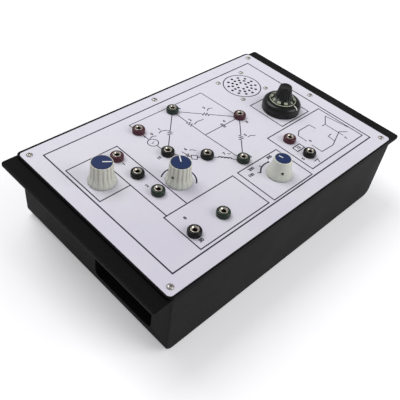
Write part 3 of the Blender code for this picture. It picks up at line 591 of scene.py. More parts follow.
# The panel: a plate with round holes and eased edges
panelSizes = Look(
    corner=3.6, ease=0.25, bush=4.4, bushing=4.9, screwHole=1.5,
    grille=20.4, grilleRings=((0.280, 6), (0.517, 12), (0.745, 12)), grilleHole=1.6)
sockets = {
    "bridge_top": "green", "generator": "maroon", "bridge_left": "black", "bridge_right": "maroon",
    "bridge_node": "black", "bridge_bottom": "green", "supply_high": "maroon", "supply_mid": "black",
    "supply_low": "green", "coil_common": "black", "coil_live": "green", "detector_high": "maroon",
    "detector_low": "black"}
panelScrews = ("front_left", "front_right", "right_middle", "back_right", "back_middle", "back_left")


def buildPanel():
    sizes = panelSizes
    holes = [(sizes.bush, 32, nodeMiddle("socket_" + name)) for name in sockets]
    holes += [(sizes.bushing, 32, jointPlace[name + "_turn"]) for name in (*knobs, "dial")]
    holes += [(sizes.screwHole, 20, nodeMiddle("panel_screw_" + name)) for name in panelScrews]
    outlines = [roundedBox(panelWidth, panelDepth, sizes.corner)]
    outlines += [around(radius, steps, 0, flatSpot(place, panelMiddle)) for radius, steps, place in holes]
    for share, count in sizes.grilleRings:
        for spot in around(sizes.grille * share, count, 0, flatSpot(grillePlace, panelMiddle)):
            outlines.append(around(sizes.grilleHole, 18, 0, spot))
    plate = softened(plateMesh("panel", outlines, -panelThickness, 0), sizes.ease)
    addPiece("panel_plate", plate, onPanel(panelMiddle), "panel_print", stands="front_panel")


# Screws with a domed head. The cross recess tapers between two levels: its reach as a share of the radius,
# half its width, and its level as a share of the height and millimetres.
screwLook = Look(radius=2.9, rise=1.6, length=12.0, shank=1.2, firstTurn=20, turn=37, seat=0.02)
crossLevels = ((0.30, 0.16, 0.10, 0.0), (0.62, 0.42, 1.0, 0.4))


def crossScrew(look, length):
    radius, height, shank, seat = look.radius, look.rise, look.shank, screwLook.seat
    dome = [(radius * sin(turn), seat + (height - seat) * cos(turn)) for turn in quarter(8, 1)]
    head = turnedMesh("screw", [(0, height)] + dome + [(shank, seat), (shank, -length), (0, -length)], 48)
    arms = []
    for step in (1, -1):
        arms.append(loftedMesh("arm", [
            rectangle((-reach * radius, -half)[::step], (reach * radius, half)[::step], height * share + more)
            for reach, half, share, more in crossLevels]))
    return combined(head, arms)


def buildScrews():
    look = screwLook
    screw = crossScrew(look, look.length)
    for index, name in enumerate(panelScrews):
        node = "panel_screw_" + name
        turned = spun(screw.copy(), look.firstTurn + look.turn * index)
        place = onPanel(nodeMiddle(node))
        addPiece("cross_screw_" + name, turned, place, "screw_steel", "nickel", stands=node)


# Sockets: a glossy sleeve, and the contact whose flange shows inside it
socketSizes = Look(
    radius=6.2, top=5.0, ease=1.7, bush=4.1, sleeveEnd=-2.0, flange=3.8, flangeHeight=0.8,
    lip=0.28, bore=2.0, boreEnd=-12.1, mouth=2.9, funnel=0.9, barrel=2.9, barrelGap=0.3,
    barrelEnd=-13.0, nut=5.0, nutTop=-2.3, nutLow=-4.5, gap=0.1, hair=0.02)


def buildSockets():
    (radius, top, ease, bush, sleeveEnd, flange, flangeHeight, lip, bore, boreEnd, mouth, funnel, barrel,
     barrelGap, barrelEnd, nut, nutTop, nutLow, gap, hair) = socketSizes.values()
    seat, rise = top - flangeHeight, top + lip
    sleeve = turnedMesh("sleeve", filleted([
        (barrel + barrelGap, seat), (flange + gap, seat), (flange + gap, top, 0.2), (radius, top, ease),
        (radius, hair, 0.15), (bush, hair), (bush, sleeveEnd), (barrel + barrelGap, sleeveEnd),
    ], True, 6), 72, True)
    contact = turnedMesh("contact", filleted([
        (0, boreEnd), (bore, boreEnd), (bore, rise - funnel), (mouth, rise, 0.15), (flange, rise, 0.3),
        (flange, seat + hair), (barrel, seat + hair), (barrel, nutTop), (nut, nutTop), (nut, nutLow),
        (barrel, nutLow), (barrel, barrelEnd), (0, barrelEnd)], False, 4), 64)
    for name, color in sockets.items():
        place = onPanel(nodeMiddle("socket_" + name))
        addPiece(name + "_sleeve", sleeve.copy(), place, color + "_plastic", stands="socket_" + name)
        addPiece(name + "_contact", contact.copy(), place, "nickel", stands="contact_" + name)


# Knobs: fluted or smooth pale bodies with a blue cap, a white pointer line and a set screw in the flank.
# A flank's points hold the share of the way down, the flare and the flutes' depth.
flutedKnob = Look(
    reach=0.94, height=21.0, skirt=12.5, top=9.7, cap=8.6, flutes=16, flute=0.55,
    foot=0.6, flank=(
        (0.04, 0.0, 0.5), (0.12, 0.02, 1.0), (0.45, 0.12, 1.0), (0.62, 0.24, 1.0), (0.72, 0.38, 1.0),
        (0.82, 0.66, 0.95), (0.89, 0.90, 0.85), (0.95, 1.0, 0.7)))
knobs = {
    "supply": Look(pointer=-36, **flutedKnob),
    "resistor": Look(pointer=57, **flutedKnob),
    "selector": Look(
        pointer=101, reach=0.64, height=18.0, skirt=12.3, top=8.0, cap=7.0, flutes=0,
        flute=0.0, foot=0.0, flank=(
            (0.03, 0.05, 0.0), (0.15, 0.13, 0.0), (0.30, 0.22, 0.0), (0.50, 0.38, 0.0), (0.66, 0.54, 0.0),
            (0.80, 0.78, 0.0), (0.90, 0.96, 0.0), (0.95, 1.0, 0.0))),
}
knobParts = Look(
    gap=0.6, capRise=0.5, capThickness=1.6, capEase=0.5, capGap=0.2, rimEase=0.15, topEase=0.25,
    footEase=0.3, bore=3.3, boreRoof=1.6, hollow=7.6, hollowTop=6.2, power=2.2,
    pointerStart=0.3, pointerWidth=1.1, pointerRise=0.05, pointerRoot=0.1,
    screwHole=1.5, screwRadius=1.2, screwTip=2.5, screwEnd=9.0, screwSocket=0.65,
    screwSocketDepth=1.6, screwEase=0.2)


def easedFlank(points, steps=4):
    # A soft curve through the flank's points.
    points = [Vector(point) for point in points]
    found = []
    for a, b, c, d in zip([points[0]] + points, points, points[1:], points[2:] + [points[-1]]):
        for t in (step / steps for step in range(steps)):
            bend = (2 * a - 5 * b + 4 * c - d) * t ** 2 + (3 * b - a - 3 * c + d) * t ** 3
            found.append(0.5 * (2 * b + (c - a) * t + bend))
    return found + [points[-1]]


def setScrewLay(name):
    # Turns an upright mesh to lie along the knob's set screw.
    spot = nodeMiddle(name + "_set_screw") - jointPlace[name + "_turn"]
    turn = Matrix.Rotation(atan2(spot.y, spot.x), 4, "Z")
    return Matrix.Translation((0, 0, spot.z)) @ turn @ Matrix.Rotation(pi / 2, 4, "Y")


def knobBody(name, look):
    sizes = knobParts
    gap, bore, ease, hollow, hollowTop = picked(sizes, "gap bore footEase hollow hollowTop")
    flutes, height, skirt, top = picked(look, "flutes height skirt top")
    steps = 16 * flutes or 96
    recess = height + sizes.capRise - sizes.capThickness - sizes.capGap
    roof = recess - sizes.boreRoof
    rim = look.cap + sizes.capGap

    def row(radius, level, depth=0.0):
        return around(radius, steps, level, (0, 0), flutes, depth * look.flute, sizes.power)

    rows = [[(0, 0, recess)], row(rim, recess), row(rim, height - sizes.rimEase)]
    rows += [row(rim + sizes.rimEase, height), row(top - sizes.topEase, height)]
    for share, flare, depth in easedFlank(look.flank):
        rows.append(row(top + flare * (skirt - top), height - share * (height - gap), depth))
    rows += [row(skirt, gap + ease, look.foot), row(skirt - ease, gap, look.foot), row(hollow, gap)]
    rows += [row(hollow, hollowTop), row(bore, hollowTop), row(bore, roof), [(0, 0, roof)]]
    start, end, radius = bore - 0.4, skirt + 2, sizes.screwHole
    hole = turnedMesh("hole", [(0, end), (radius, end), (radius, start), (0, start)], 24)
    hole.transform(setScrewLay(name))
    return combined(skinMesh(name, rows), [hole])


def setScrewMesh(name):
    # A headless screw with a six-sided socket.
    sizes = knobParts
    radius, ease, tip, end = (sizes["screw" + key] for key in ("Radius", "Ease", "Tip", "End"))
    profile = [
        (0, end), (radius - ease, end), (radius, end - ease),
        (radius, tip + 2 * ease), (radius / 2, tip), (0, tip)]
    socket = [around(sizes.screwSocket, 6, level) for level in (end - sizes.screwSocketDepth, end + 1)]
    screw = combined(turnedMesh("set_screw", profile, 24), [loftedMesh("socket", socket)])
    screw.transform(setScrewLay(name))
    return screw


def buildKnobs():
    sizes = knobParts
    half = sizes.pointerWidth / 2
    for name, look in knobs.items():
        top, radius = look.height + sizes.capRise, look.cap
        under = top - sizes.capThickness
        profile = [(0, top), (radius, top, sizes.capEase), (radius, under), (0, under)]
        cap = turnedMesh("cap", filleted(profile), 96)
        line = blockMesh(
            (sizes.pointerStart, -half, top - sizes.pointerRoot),
            (radius * look.reach, half, top + sizes.pointerRise))
        finish = "knob_grey" if look.flutes else "knob_smooth"
        place, body = jointPlace[name + "_turn"], name + "_turner"
        addPiece(name + "_body", knobBody(name, look), place, finish, "knob_grey", body, name + "_knob")
        addPiece(name + "_cap", cap, place, "knob_blue", None, body, name + "_knob_cap")
        screw = setScrewMesh(name)
        addPiece(name + "_grub_screw", screw, place, "dark_steel", "steel", body, name + "_set_screw")
        addPiece(name + "_pointer", spun(line, look.pointer), place, "ink_pale", "knob_blue", body)


# The dial: a fixed domed ring with an index line, and a numbered cone with its grip.
# The rim line's points on the cone hold their radius and lift.
dialLook = Look(
    ring=19.8, opening=14.4, ringHeight=11.3, wall=6.2, wallThickness=1.8, ringFoot=0.3, ease=0.2,
    disc=13.8, discTop=11.6, discThickness=2.2, cone=3.4, gripBase=8.9, gripTop=6.5,
    gripEdge=1.2, gripShares=(0.85, 0.7, 0.5, 0.3, 0.15, 0.06), gripFoot=0.4, top=27.0, dish=0.25,
    flutes=15, flute=0.7, power=1.5, hollow=6.2, bore=3.3, boreTop=20.8,
    numberSize=3.8, numberShare=0.50, numberTurn=-91, numberLift=0.05,
    rimLine=((13.1, -0.1), (13.1, 0.05), (13.55, 0.05), (13.55, -0.1)),
    indexTurn=-88, indexWidth=1.25, indexStart=3, indexSweep=62, indexLift=(-0.1, 0.04))


def dialShoulder(turn, lift=0.0):
    # A point (radius, height) on the ring's domed shoulder, raised off it a little.
    opening, wall = dialLook.opening, dialLook.wall
    dome, rise = dialLook.ring - opening + lift, dialLook.ringHeight - wall + lift
    return (opening + dome * sin(turn), wall + rise * cos(turn))


def dialRing():
    look = dialLook
    ring, opening, height, foot, ease = picked(look, "ring opening ringHeight ringFoot ease")
    inner = ring - look.wallThickness
    profile = [(opening, height - ease / 2), (opening + ease, height)]
    profile += [dialShoulder(turn) for turn in quarter(14, 1)]
    profile += [(ring, foot + ease), (ring - ease, foot), (inner, foot)]
    profile += [(inner, look.wall - look.wallThickness / 2), (opening, height - look.wallThickness)]
    return turnedMesh("ring", profile, 128, True)


def dialGrip():
    look = dialLook
    disc, discTop, base, radius, edge, top = picked(look, "disc discTop gripBase gripTop gripEdge top")
    hollow, bore, boreTop, dish, widen = picked(look, "hollow bore boreTop dish gripFoot")
    foot, under = discTop + look.cone, discTop - look.discThickness

    def row(size, level, depth=0.0):
        flutes = look.flutes
        return around(size, 12 * flutes, level, (0, 0), flutes, depth * look.flute, look.power)

    rows = [[(0, 0, top - dish)], row(radius - 2.0, top - dish + 0.03), row(radius - 1.5, top)]
    for turn in quarter(6):
        rows.append(row(radius - edge * (1 - sin(turn)), top - edge * (1 - cos(turn)), 0.6 * sin(turn) ** 3))
    for share in look.gripShares:
        height = foot + (top - edge - foot) * share
        rows.append(row(radius + (base - widen - radius) * (1 - share), height, 1))
    rows += [row(base, foot, 0.4), row(base + widen, foot - 0.28), row(disc - 0.25, discTop + 0.1)]
    rows += [row(disc, discTop - 0.15), row(disc, under)]
    rows += [row(hollow, under), row(hollow, hollow), row(bore, hollow)]
    return skinMesh("grip", rows + [row(bore, boreTop), [(0, 0, boreTop)]])


def dialNumbers():
    look = dialLook
    disc, cone, share = look.disc, look.cone, look.numberShare
    run = disc - look.gripBase
    spot = Vector((disc - run * share, 0, look.discTop + cone * share))
    lay = Matrix.Rotation(atan2(cone, run), 4, "Y") @ Matrix.Rotation(pi / 2, 4, "Z")
    lay = Matrix.Translation(spot * mm) @ lay @ Matrix.Translation((0, 0, look.numberLift * mm))
    work = bmesh.new()
    for index in range(10):
        turn = Matrix.Rotation(radians(look.numberTurn + 36 * index), 4, "Z")
        inkNumber(work, str(index * 10), look.numberSize, turn @ lay, 0.16, 0.03)
    skin(work, [
        around(radius, 96, look.discTop + (disc - radius) * cone / run + lift)
        for radius, lift in look.rimLine], True)
    return newMesh("numbers", work, 60)


def dialIndex():
    look = dialLook
    rows = []
    half = look.indexWidth / 2
    for index in range(9):
        turn = radians(look.indexStart + look.indexSweep * index / 8)
        (r0, z0), (r1, z1) = (dialShoulder(turn, lift) for lift in look.indexLift)
        rows.append([(r0, -half, z0), (r1, -half, z1), (r1, half, z1), (r0, half, z0)])
    return spun(loftedMesh("index", rows), look.indexTurn)


def buildDial():
    place, slot, turner = jointPlace["dial_turn"], "black_plastic", "dial_turner"
    addPiece("dial_fixed_ring", dialRing(), place, "dial_black", slot, stands="dial_ring")
    addPiece("dial_grip", dialGrip(), place, "dial_black", slot, turner, "dial_knob")
    addPiece("dial_numbers", dialNumbers(), place, "ink_dial", slot, turner)
    addPiece("dial_index", dialIndex(), place, "ink_pale", slot)


# The loudspeaker under the grille: pressed basket with windows, magnet, paper cone, and four screws
speakerLook = Look(
    gap=0.3, flange=28.8, mouth=22.8, sheet=1.2, magnet=16.4, depth=21.5, throat=13.7,
    throatDepth=13.3, windowHalf=5.0, voice=6.84, voiceTop=-12.0, domeRise=2.2, paper=0.6,
    surround=18.8, coneDrop=1.4, bow=0.85, edgeRise=0.8, wave=0.5)
speakerScrew = Look(radius=2.6, rise=1.4, shank=1.3, place=18.25, firstTurn=15, turn=50)


def buildSpeaker():
    look = speakerLook
    flange, mouth, sheet, magnet, throat = picked(look, "flange mouth sheet magnet throat")
    gap, half = look.gap, look.windowHalf
    top = -panelThickness - gap
    back, bottom, neck = top - look.throatDepth, top - look.depth, magnet - 1
    place = onPanel(grillePlace)
    basket = turnedMesh("basket", filleted([
        (0, back), (throat, back, 1.5), (mouth, top - 2 * sheet, 1.0), (mouth, top), (flange, top, 0.3),
        (flange, top - sheet, 0.3), (mouth + 2 * sheet, top - sheet, 0.8),
        (mouth + sheet, top - 2.4 * sheet, 1.0), (throat + sheet, back - sheet, 1.0),
        (magnet, back - sheet, 0.5), (magnet, back - 2 * sheet, 0.3),
        (neck, back - 2.4 * sheet), (neck, bottom + 2 * sheet), (magnet, bottom + 1.8 * sheet, 0.3),
        (magnet, bottom, 0.5), (0, bottom)], False, 3), 96)
    windows = [
        spun(blockMesh((throat - 1, -half, back + 2), (mouth + 3, half, top - 4 * sheet)), turn)
        for turn in range(0, 360, 60)]
    addPiece("speaker_basket", combined(basket, windows), place, "steel", stands="speaker_frame")

    voice, voiceTop, rise, surround = picked(look, "voice voiceTop domeRise surround")
    coneTop, rim = top - sheet - look.coneDrop, mouth - gap
    face = [(0, voiceTop + rise)]
    face += [(voice * sin(turn), voiceTop + rise * cos(turn)) for turn in quarter(8, 1)]
    for share in (index / 10 for index in range(1, 11)):
        face.append((voice + (surround - voice) * share, voiceTop + (coneTop - voiceTop) * share ** look.bow))
    for share in (index / 16 for index in range(1, 17)):
        level = coneTop + look.edgeRise * share + look.wave * sin(4 * pi * share)
        face.append((surround + (rim - surround) * share, level))
    face += [(radius, level - look.paper) for radius, level in face[:8:-1]]
    face += [(voice + 0.4, back + gap), (0, back + gap)]
    addPiece("speaker_paper", turnedMesh("cone", face, 96), place, "paper", stands="speaker_cone")

    look = speakerScrew
    screw = crossScrew(look, gap - top + sheet)
    for index, (side, end) in enumerate(fourCorners):
        spot = onPanel(grillePlace + Vector((side, end, 0)) * look.place * mm)
        turned = spun(screw.copy(), look.firstTurn + look.turn * index)
        addPiece(f"speaker_screw_{index + 1}", turned, spot, "screw_steel", "steel")


# Printing: flat lines, circuit symbols and plain numbers, in millimetres from the panel's front left corner.
# A word in place of a point names a socket, or the middle of the bridge.
inkHeight = 0.03
printLook = Look(
    frameWidth=1.35, boxWidth=1.1, wireWidth=0.85, boldWidth=1.4, numberSize=4.4,
    symbolRise=2.1, plateRise=3.2, plateBold=1.3, wave=(0.25, 0.8), waveThin=0.7)
border = (16, 14.5, 284.5, 181)
boxes = (
    (19.6, 106, 51.5, 153), (51.5, 60.4, 74.3, 153), (48.5, 17.8, 130.2, 60.4), (136.6, 17, 190.8, 60.4),
    (224.2, 80.1, 267.5, 123.2), (197.2, 21.3, 280.6, 76.6), (205.8, 45.6, 216.4, 52.0))
lines = (
    ((225.1, 43.7), (225.1, 31.1), (242.6, 30.5), (265.5, 39.4)),
    ((225.7, 50.0), (225.7, 60.8), (232.5, 65.3), (249.2, 65.2), (249.9, 57.4)),
    ((275.7, 64.1), (264.1, 55.6), (258.9, 55.7)), ((275.7, 64.1), (280.0, 37.7)),
    ((263.8, 54.6), (264.2, 33.2)), ((255.9, 42.2), (250.1, 41.7), (249.3, 33.0)),
    ((265.5, 39.4), (272.8, 34.0)), ((117.4, 144.7), (121.5, 145.9), (127.0, 143.6)),
    ((154.6, 134.8), (160.0, 136.4), (167.7, 135.2)), ((180.7, 143.0), (184.6, 145.4), (188.6, 143.5)),
    ((182.8, 89.8), (187.0, 89.6), (191.0, 86.6)), ((148.6, 84.4), (149.6, 83.2), (151.3, 82.8)),
    ((105.4, 143.6), (109.4, 144.8), (113.0, 143.0)), ((123.6, 109.4), (126.4, 108.0), (128.4, 105.1)),
    ((207.1, 26.7), (212.7, 27.3), (210.7, 22.8)),
    ("generator", (102.7, 170.4), (197.7, 169.7), "bridge_right"))
wires = (
    ("bridge_top", "bridge_left", "resistor", (126.8, 138.5), 7.0),
    ("bridge_top", "bridge_right", "resistor", (175.1, 139.5), 7.0),
    ("bridge_top", "middle", "resistor", (152.1, 137.7), 7.0),
    ("middle", "bridge_right", "plates", (176.6, 117.0), 1.6),
    ("middle", "bridge_bottom", "", (0, 0), 0),
    ("bridge_right", "bridge_bottom", "resistor", (177.0, 92.7), 7.0),
    ("bridge_node", "bridge_bottom", "coil", (142.8, 82.0), 12.4),
    ("generator", "bridge_left", "source", (104.6, 137.4), 10.2))
sourceDot = Look(shift=-0.2, level=148.3, radius=0.5, width=0.96)
sideBranch = (
    ("bridge_left", (118.6, 101.2)), ((122.6, 97.3), "bridge_node"),
    ((119.9, 103.3), (117.0, 98.8), (120.2, 95.6), (124.2, 98.9)), ((116.4, 112.1), (117.8, 104.6)),
    ((116.2, 106.4), (118.0, 103.8), (119.4, 106.8)))
arcs = (("resistor", 0.8, 15.4, -55, 130), ("selector", 0, 16.7, 72, 141))
ticks = ((75, 18.4), (111, 19.6), (139.5, 19.8))
tickStart = 16.4
numbers = (
    ("1", 121.9, 148.9), ("2", 156.2, 142.4), ("3", 181.8, 148.8), ("4", 182.4, 120.9), ("5", 183.4, 93.2),
    ("6", 121.6, 112.4), ("7", 146.4, 86.2), ("8", 200.3, 106.4), ("10", 94.2, 117.8), ("0", 111.4, 147.6),
    ("1", 64.0, 130.2), ("2", 62.0, 97.0), ("3", 163.2, 68.4), ("4", 160.3, 162.3), ("5", 201.4, 35.6),
    ("6", 229.2, 48.4), ("7", 263.1, 29.0), ("12", 211.1, 48.8),
    ("100", 144.2, 50.6), ("200", 150.4, 56.2), ("300", 176.6, 57.0), ("8", 61.7, 49.5), ("30", 55.4, 24.2))


def inkNumber(work, text, size, lay, half, bold):
    # A flat number laid by a matrix; half is half its thickness.
    curve = bpy.data.curves.new("number", "FONT")
    curve.body = text
    curve.size = size * mm
    curve.align_x = curve.align_y = "CENTER"
    curve.extrude = half * mm
    curve.offset = bold * size * mm
    curve.resolution_u = 3
    mesh = bakedMesh(inScene("number", curve))
    mesh.transform(lay)
    work.from_mesh(mesh)


def inkLine(work, points, width, closed=False):
    spots = [Vector(point[:2]) for point in points]
    count = len(spots)
    high = inkHeight + len(work.faces) % 50 * 0.0004  # lines that cross lie a hair apart
    rows = []
    for index, spot in enumerate(spots):
        arms = []
        if index or closed:
            arms.append((spot - spots[index - 1]).normalized())
        if index < count - 1 or closed:
            arms.append((spots[(index + 1) % count] - spot).normalized())
        normal = sum(arms, Vector((0, 0))).normalized().orthogonal()
        reach = width / 2 / max(normal.dot(arms[0].orthogonal()), 0.4)
        left, right = spot + normal * reach, spot - normal * reach
        rows.append([(*left, high), (*left, -inkHeight), (*right, -inkHeight), (*right, high)])
    skin(work, rows, closed, not closed)


def inkArc(work, center, radius, start, end, width):
    steps = max(6, round(abs(end - start) / 5))
    turns = [radians(start + (end - start) * index / steps) for index in range(steps + 1)]
    whole = abs(end - start) == 360
    points = [(center[0] + radius * cos(t), center[1] + radius * sin(t)) for t in turns]
    inkLine(work, points[:-1] if whole else points, width, whole)


def inkWire(work, first, last, symbol, spot, size):
    # A printed connection between two places, with a circuit symbol near a spot on its way.
    look = printLook
    width = look.wireWidth
    first, last = Vector(first), Vector(last)
    along = (last - first).normalized()
    normal = along.orthogonal()
    if not symbol:
        inkLine(work, [first, last], width)
        return
    middle = first + along * (Vector(spot) - first).dot(along)
    start, end = middle - along * size / 2, middle + along * size / 2
    inkLine(work, [first, start], width)
    inkLine(work, [end, last], width)
    if symbol == "resistor":
        zigzag = [
            start + along * size * (index + 0.5) / 5 + normal * look.symbolRise * (1 if index % 2 else -1)
            for index in range(5)]
        inkLine(work, [start] + zigzag + [end], width)
    if symbol == "plates":
        for edge in (start, end):
            rise = normal * look.plateRise
            inkLine(work, [edge + rise, edge - rise], width * look.plateBold)
    if symbol == "coil":
        heading = degrees(atan2(along.y, along.x))
        for index in range(4):
            loop = start + along * size / 8 * (2 * index + 1)
            inkArc(work, loop, size / 8, heading + 180, heading, look.boldWidth)
    if symbol == "source":
        inkArc(work, middle, size / 2, 0, 360, width)
        step, rise = look.wave
        wave = [middle + Vector((step * index, rise * sin(pi * index / 8))) for index in range(-8, 9)]
        inkLine(work, wave, width * look.waveThin)


def buildPrint():
    look = printLook
    wire, box, bold = look.wireWidth, look.boxWidth, look.boldWidth
    spots = {name: flatSpot(nodeMiddle("socket_" + name)) for name in sockets}
    spots["middle"] = (spots["bridge_top"][0], spots["bridge_right"][1])
    work = bmesh.new()
    for width, corners in ((look.frameWidth, border), *((box, corners) for corners in boxes)):
        inkLine(work, rectangle(corners[:2], corners[2:]), width, True)
    for points in lines:
        inkLine(work, [spots.get(point, point) for point in points], wire)
    for first, last, *symbol in wires:
        inkWire(work, spots[first], spots[last], *symbol)
    shift, level, radius, width = sourceDot.values()
    inkArc(work, (spots["generator"][0] + shift, level), radius, 0, 360, width)
    for points in sideBranch:
        # Its figure with four corners is closed.
        inkLine(work, [spots.get(point, point) for point in points], wire, len(points) == 4)
    inkArc(work, flatSpot(grillePlace), panelSizes.grille, 0, 360, box)
    for name, shift, *sweep in arcs:
        place = Vector(flatSpot(jointPlace[name + "_turn"]))
        inkArc(work, place + Vector((shift, shift)), *sweep, bold)
    # The ticks stand round the selector, whose arc is the last.
    for turn, reach in ticks:
        arm = Vector((cos(radians(turn)), sin(radians(turn))))
        inkLine(work, [place + arm * tickStart, place + arm * reach], box)
    for text, x, y in numbers:
        inkNumber(work, text, look.numberSize, Matrix.Translation((x * mm, y * mm, 0)), inkHeight, 0.05)
    addPiece("panel_lines", newMesh("lines", work, 60), onPanel(panelLow), "ink_dark", "panel_print")


# Fittings in the back wall: a mains inlet with its three pins, and a rocker switch
rearLook = Look(
    bezel=1.6, bezelCorner=2.2, bezelEase=0.7, boxEase=0.1, shellEase=0.2, overlap=2.0,
    inletWall=1.4, inletCut=4.5, inletCorner=1.2, pinWidth=4.0, pinThickness=2.0, pinCorner=0.3,
    pinSpacing=7.0, pinLevel=2.0, pinTip=2.0, pinTaper=0.6, tab=7.0, switchWall=1.3, switchCorner=0.8,
    depths={"mains_inlet": 16.0, "switch_housing": 13.0})
rockerLook = Look(
    halfLength=7.4, halfWidth=4.9, tip=4.4, tipRound=0.6, middle=3.2, middleRound=14.0,
    rootHalf=3.0, root=-2.0, rootRound=0.8, edge=0.35, tilt=8, markPlace=4.0, markHalf=1.3,
    markWidth=0.45, markRise=0.05)
outward = Matrix(((-1, 0, 0, 0), (0, 0, 1, 0), (0, 1, 0, 0), (0, 0, 0, 1)))


def rearShell(name, piece, outline, wall):
    # A bezel and the box behind it, hollowed from outside along an outline.
    look = rearLook
    width, _, height = boxSize(name)
    depth, border, corner, lip = look.depths[name], 2 * look.overlap, look.bezelCorner, look.bezel
    bezel = easedPlate(width, height, corner, -lip, 0, look.bezelEase)
    box = easedPlate(width - border, height - border, corner / 2, -depth, -lip / 2, look.boxEase)
    hollow = loftedMesh("hollow", [[(x, y, level) for x, y in outline] for level in (wall - depth, 1)])
    shell = combined(combined(bezel, [box], "UNION"), [hollow])
    shell.transform(outward)
    place = nodeMiddle(name)
    place.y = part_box(name)[1].y
    addPiece(piece, softened(shell, look.shellEase, 2, 50), place, "black_plastic", stands=name)
    return place


def buildInlet():
    look = rearLook
    width, _, height = boxSize("mains_inlet")
    inset = look.overlap + look.inletWall
    x, y, corner, cut = width / 2 - inset, height / 2 - inset, look.inletCorner, look.inletCut
    outline = [(x, -y), (x, y - cut), (x - cut, y), (cut - x, y), (-x, y - cut), (-x, -y)]
    outline = filleted([(*spot, corner) for spot in outline], True, 4)
    place = rearShell("mains_inlet", "inlet_shell", outline, look.inletWall)
    level, tip, taper = look.pinLevel, look.pinTip, look.pinTaper
    work = bmesh.new()
    for side, rise in ((-1, -level), (0, level), (1, -level)):
        rows = []
        for share, depth in ((1, -look.depths["mains_inlet"] - look.tab), (1, -tip - 1), (taper, -tip)):
            size = (look.pinThickness * share, look.pinWidth * share ** 0.5, look.pinCorner)
            rows.append([(a, b, depth) for a, b in roundedBox(*size, (side * look.pinSpacing, rise), 3)])
        skin(work, rows, ends=True)
    pins = newMesh("pins", work)
    pins.transform(outward)
    addPiece("inlet_pins", pins, place, "nickel", "steel")


def buildSwitch():
    width, _, height = boxSize("switch_housing")
    inset = 2 * (rearLook.overlap + rearLook.switchWall)
    outline = roundedBox(width - inset, height - inset, rearLook.switchCorner)
    rearShell("switch_housing", "switch_shell", outline, rearLook.switchWall)

    look = rockerLook
    half, tip, middle, foot, root = picked(look, "halfLength tip middle rootHalf root")
    end, low = look.tipRound, look.rootRound
    outline = filleted([
        (-half, tip, end), (-foot, root, low), (foot, root, low), (half, tip, end),
        (0, middle, look.middleRound)], True, 6)
    side = look.halfWidth
    rocker = loftedMesh("rocker", [[(x, a, b) for a, b in outline] for x in (-side, side)])
    rocker = softened(rocker, look.edge, 3, 50)
    lay = outward @ Matrix.Rotation(radians(look.tilt), 4, "X")
    rocker.transform(lay)
    place = jointPlace["rocker_tilt"]
    addPiece("rocker_cap", rocker, place, "black_plastic", None, "rocker", "power_rocker")

    slope, mark, reach = atan2(tip - middle, half), look.markHalf, look.markPlace
    rise = middle + reach * tan(slope) + look.markRise - inkHeight
    for name, side in (("on", 1), ("off", -1)):
        work = bmesh.new()
        if side > 0:
            inkLine(work, [(0, -mark), (0, mark)], look.markWidth)
        else:
            inkArc(work, (0, 0), mark, 0, 360, look.markWidth)
        sign = newMesh("mark", work)
        spot = Matrix.Translation((0, side * reach * mm, rise * mm))
        sign.transform(lay @ spot @ Matrix.Rotation(side * slope, 4, "X"))
        addPiece("rocker_mark_" + name, sign, place, "ink_pale", "black_plastic", "rocker")


# Stage: floor, lights, surroundings and the camera
stage = Look(
    floor=(246, 246, 247), stain=(243, 243, 244), reach=6000, glow=0.28, farGlow=0.62,
    far=(0.35, 2.2), world=0.40, sky=(250, 250, 255))
lamps = {
    "key": Look(place=(-0.1, 0.9, 1.5), size=1.1, power=14.9),
    "fill": Look(place=(1.1, -1.9, 1.5), size=1.6, power=26.0),
}
camera = Look(place=(-0.3194, -0.2517, 0.3979), aim=(-0.0642, -0.0434, 0.0766), roll=9.01, lens=49.48)


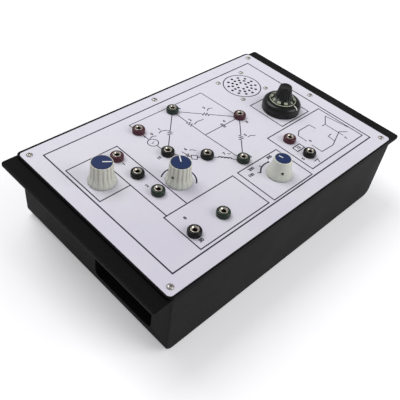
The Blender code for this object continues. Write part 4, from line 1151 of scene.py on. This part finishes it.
def floorPaint(place, look):
    path = place.node("LightPath", {}).socket.node.outputs
    seen = (Wire(path["Is Camera Ray"]) + Wire(path["Is Glossy Ray"])).clamped()
    grain = place.grain(40, 3.0)
    glow = place.measure("LENGTH").band(*look.far) * (look.farGlow - look.glow) + look.glow
    more = {"Specular IOR Level": 0.2, "Emission Color": seen * glow, "Emission Strength": 1.0}
    return grain.blend(look.floor, look.stain), grain * 0.1 + 0.8, None, 0, more


def aimed(name, data, place, aim=(0, 0, 0), roll=0):
    # A lamp or the camera, turned from its place to another.
    item = inScene(name, data)
    item.location = place
    item.rotation_mode = "QUATERNION"
    turn = (Vector(aim) - Vector(place)).to_track_quat("-Z", "Y")
    item.rotation_quaternion = turn @ Quaternion((0, 0, 1), radians(roll))
    return item


def buildStage():
    reach = stage.reach
    work = bmesh.new()
    corners = rectangle((-reach, -reach), (reach, reach))
    work.faces.new([work.verts.new(Vector(corner) * mm) for corner in corners])
    floor = inScene("floor", newMesh("floor", work))
    floor.data.materials.append(madeFinish("floor_paint", floorPaint, stage))

    world = bpy.data.worlds.new("studio")
    bpy.context.scene.world = world
    world.use_nodes = True
    world.node_tree.nodes.clear()
    path = Wire(world.node_tree.nodes.new("ShaderNodeLightPath").outputs["Is Camera Ray"])
    plain = path.node("Background", {"Color": tint(stage.sky), "Strength": stage.world})
    white = path.node("Background", {"Color": (1.0, 1.0, 1.0, 1.0), "Strength": 1.0})
    path.node("OutputWorld", {"Surface": path.node("MixShader", {0: path, 1: plain, 2: white})})

    for name, look in lamps.items():
        light = bpy.data.lights.new(name, "AREA")
        light.size = look.size
        light.energy = look.power
        aimed(name, light, look.place)
    lens = bpy.data.cameras.new("camera")
    lens.lens = camera.lens
    lens.clip_start = 0.01
    bpy.context.scene.camera = aimed("camera", lens, camera.place, camera.aim, camera.roll)
    bpy.context.scene.view_settings.view_transform = "Standard"


for stageName, build in (
        ("case", buildCase), ("panel", buildPanel), ("screws", buildScrews), ("sockets", buildSockets),
        ("knobs", buildKnobs), ("dial", buildDial), ("loudspeaker", buildSpeaker), ("printing", buildPrint),
        ("mains inlet", buildInlet), ("switch", buildSwitch), ("floor, lights and camera", buildStage)):
    build()
    print(stageName, "ready")
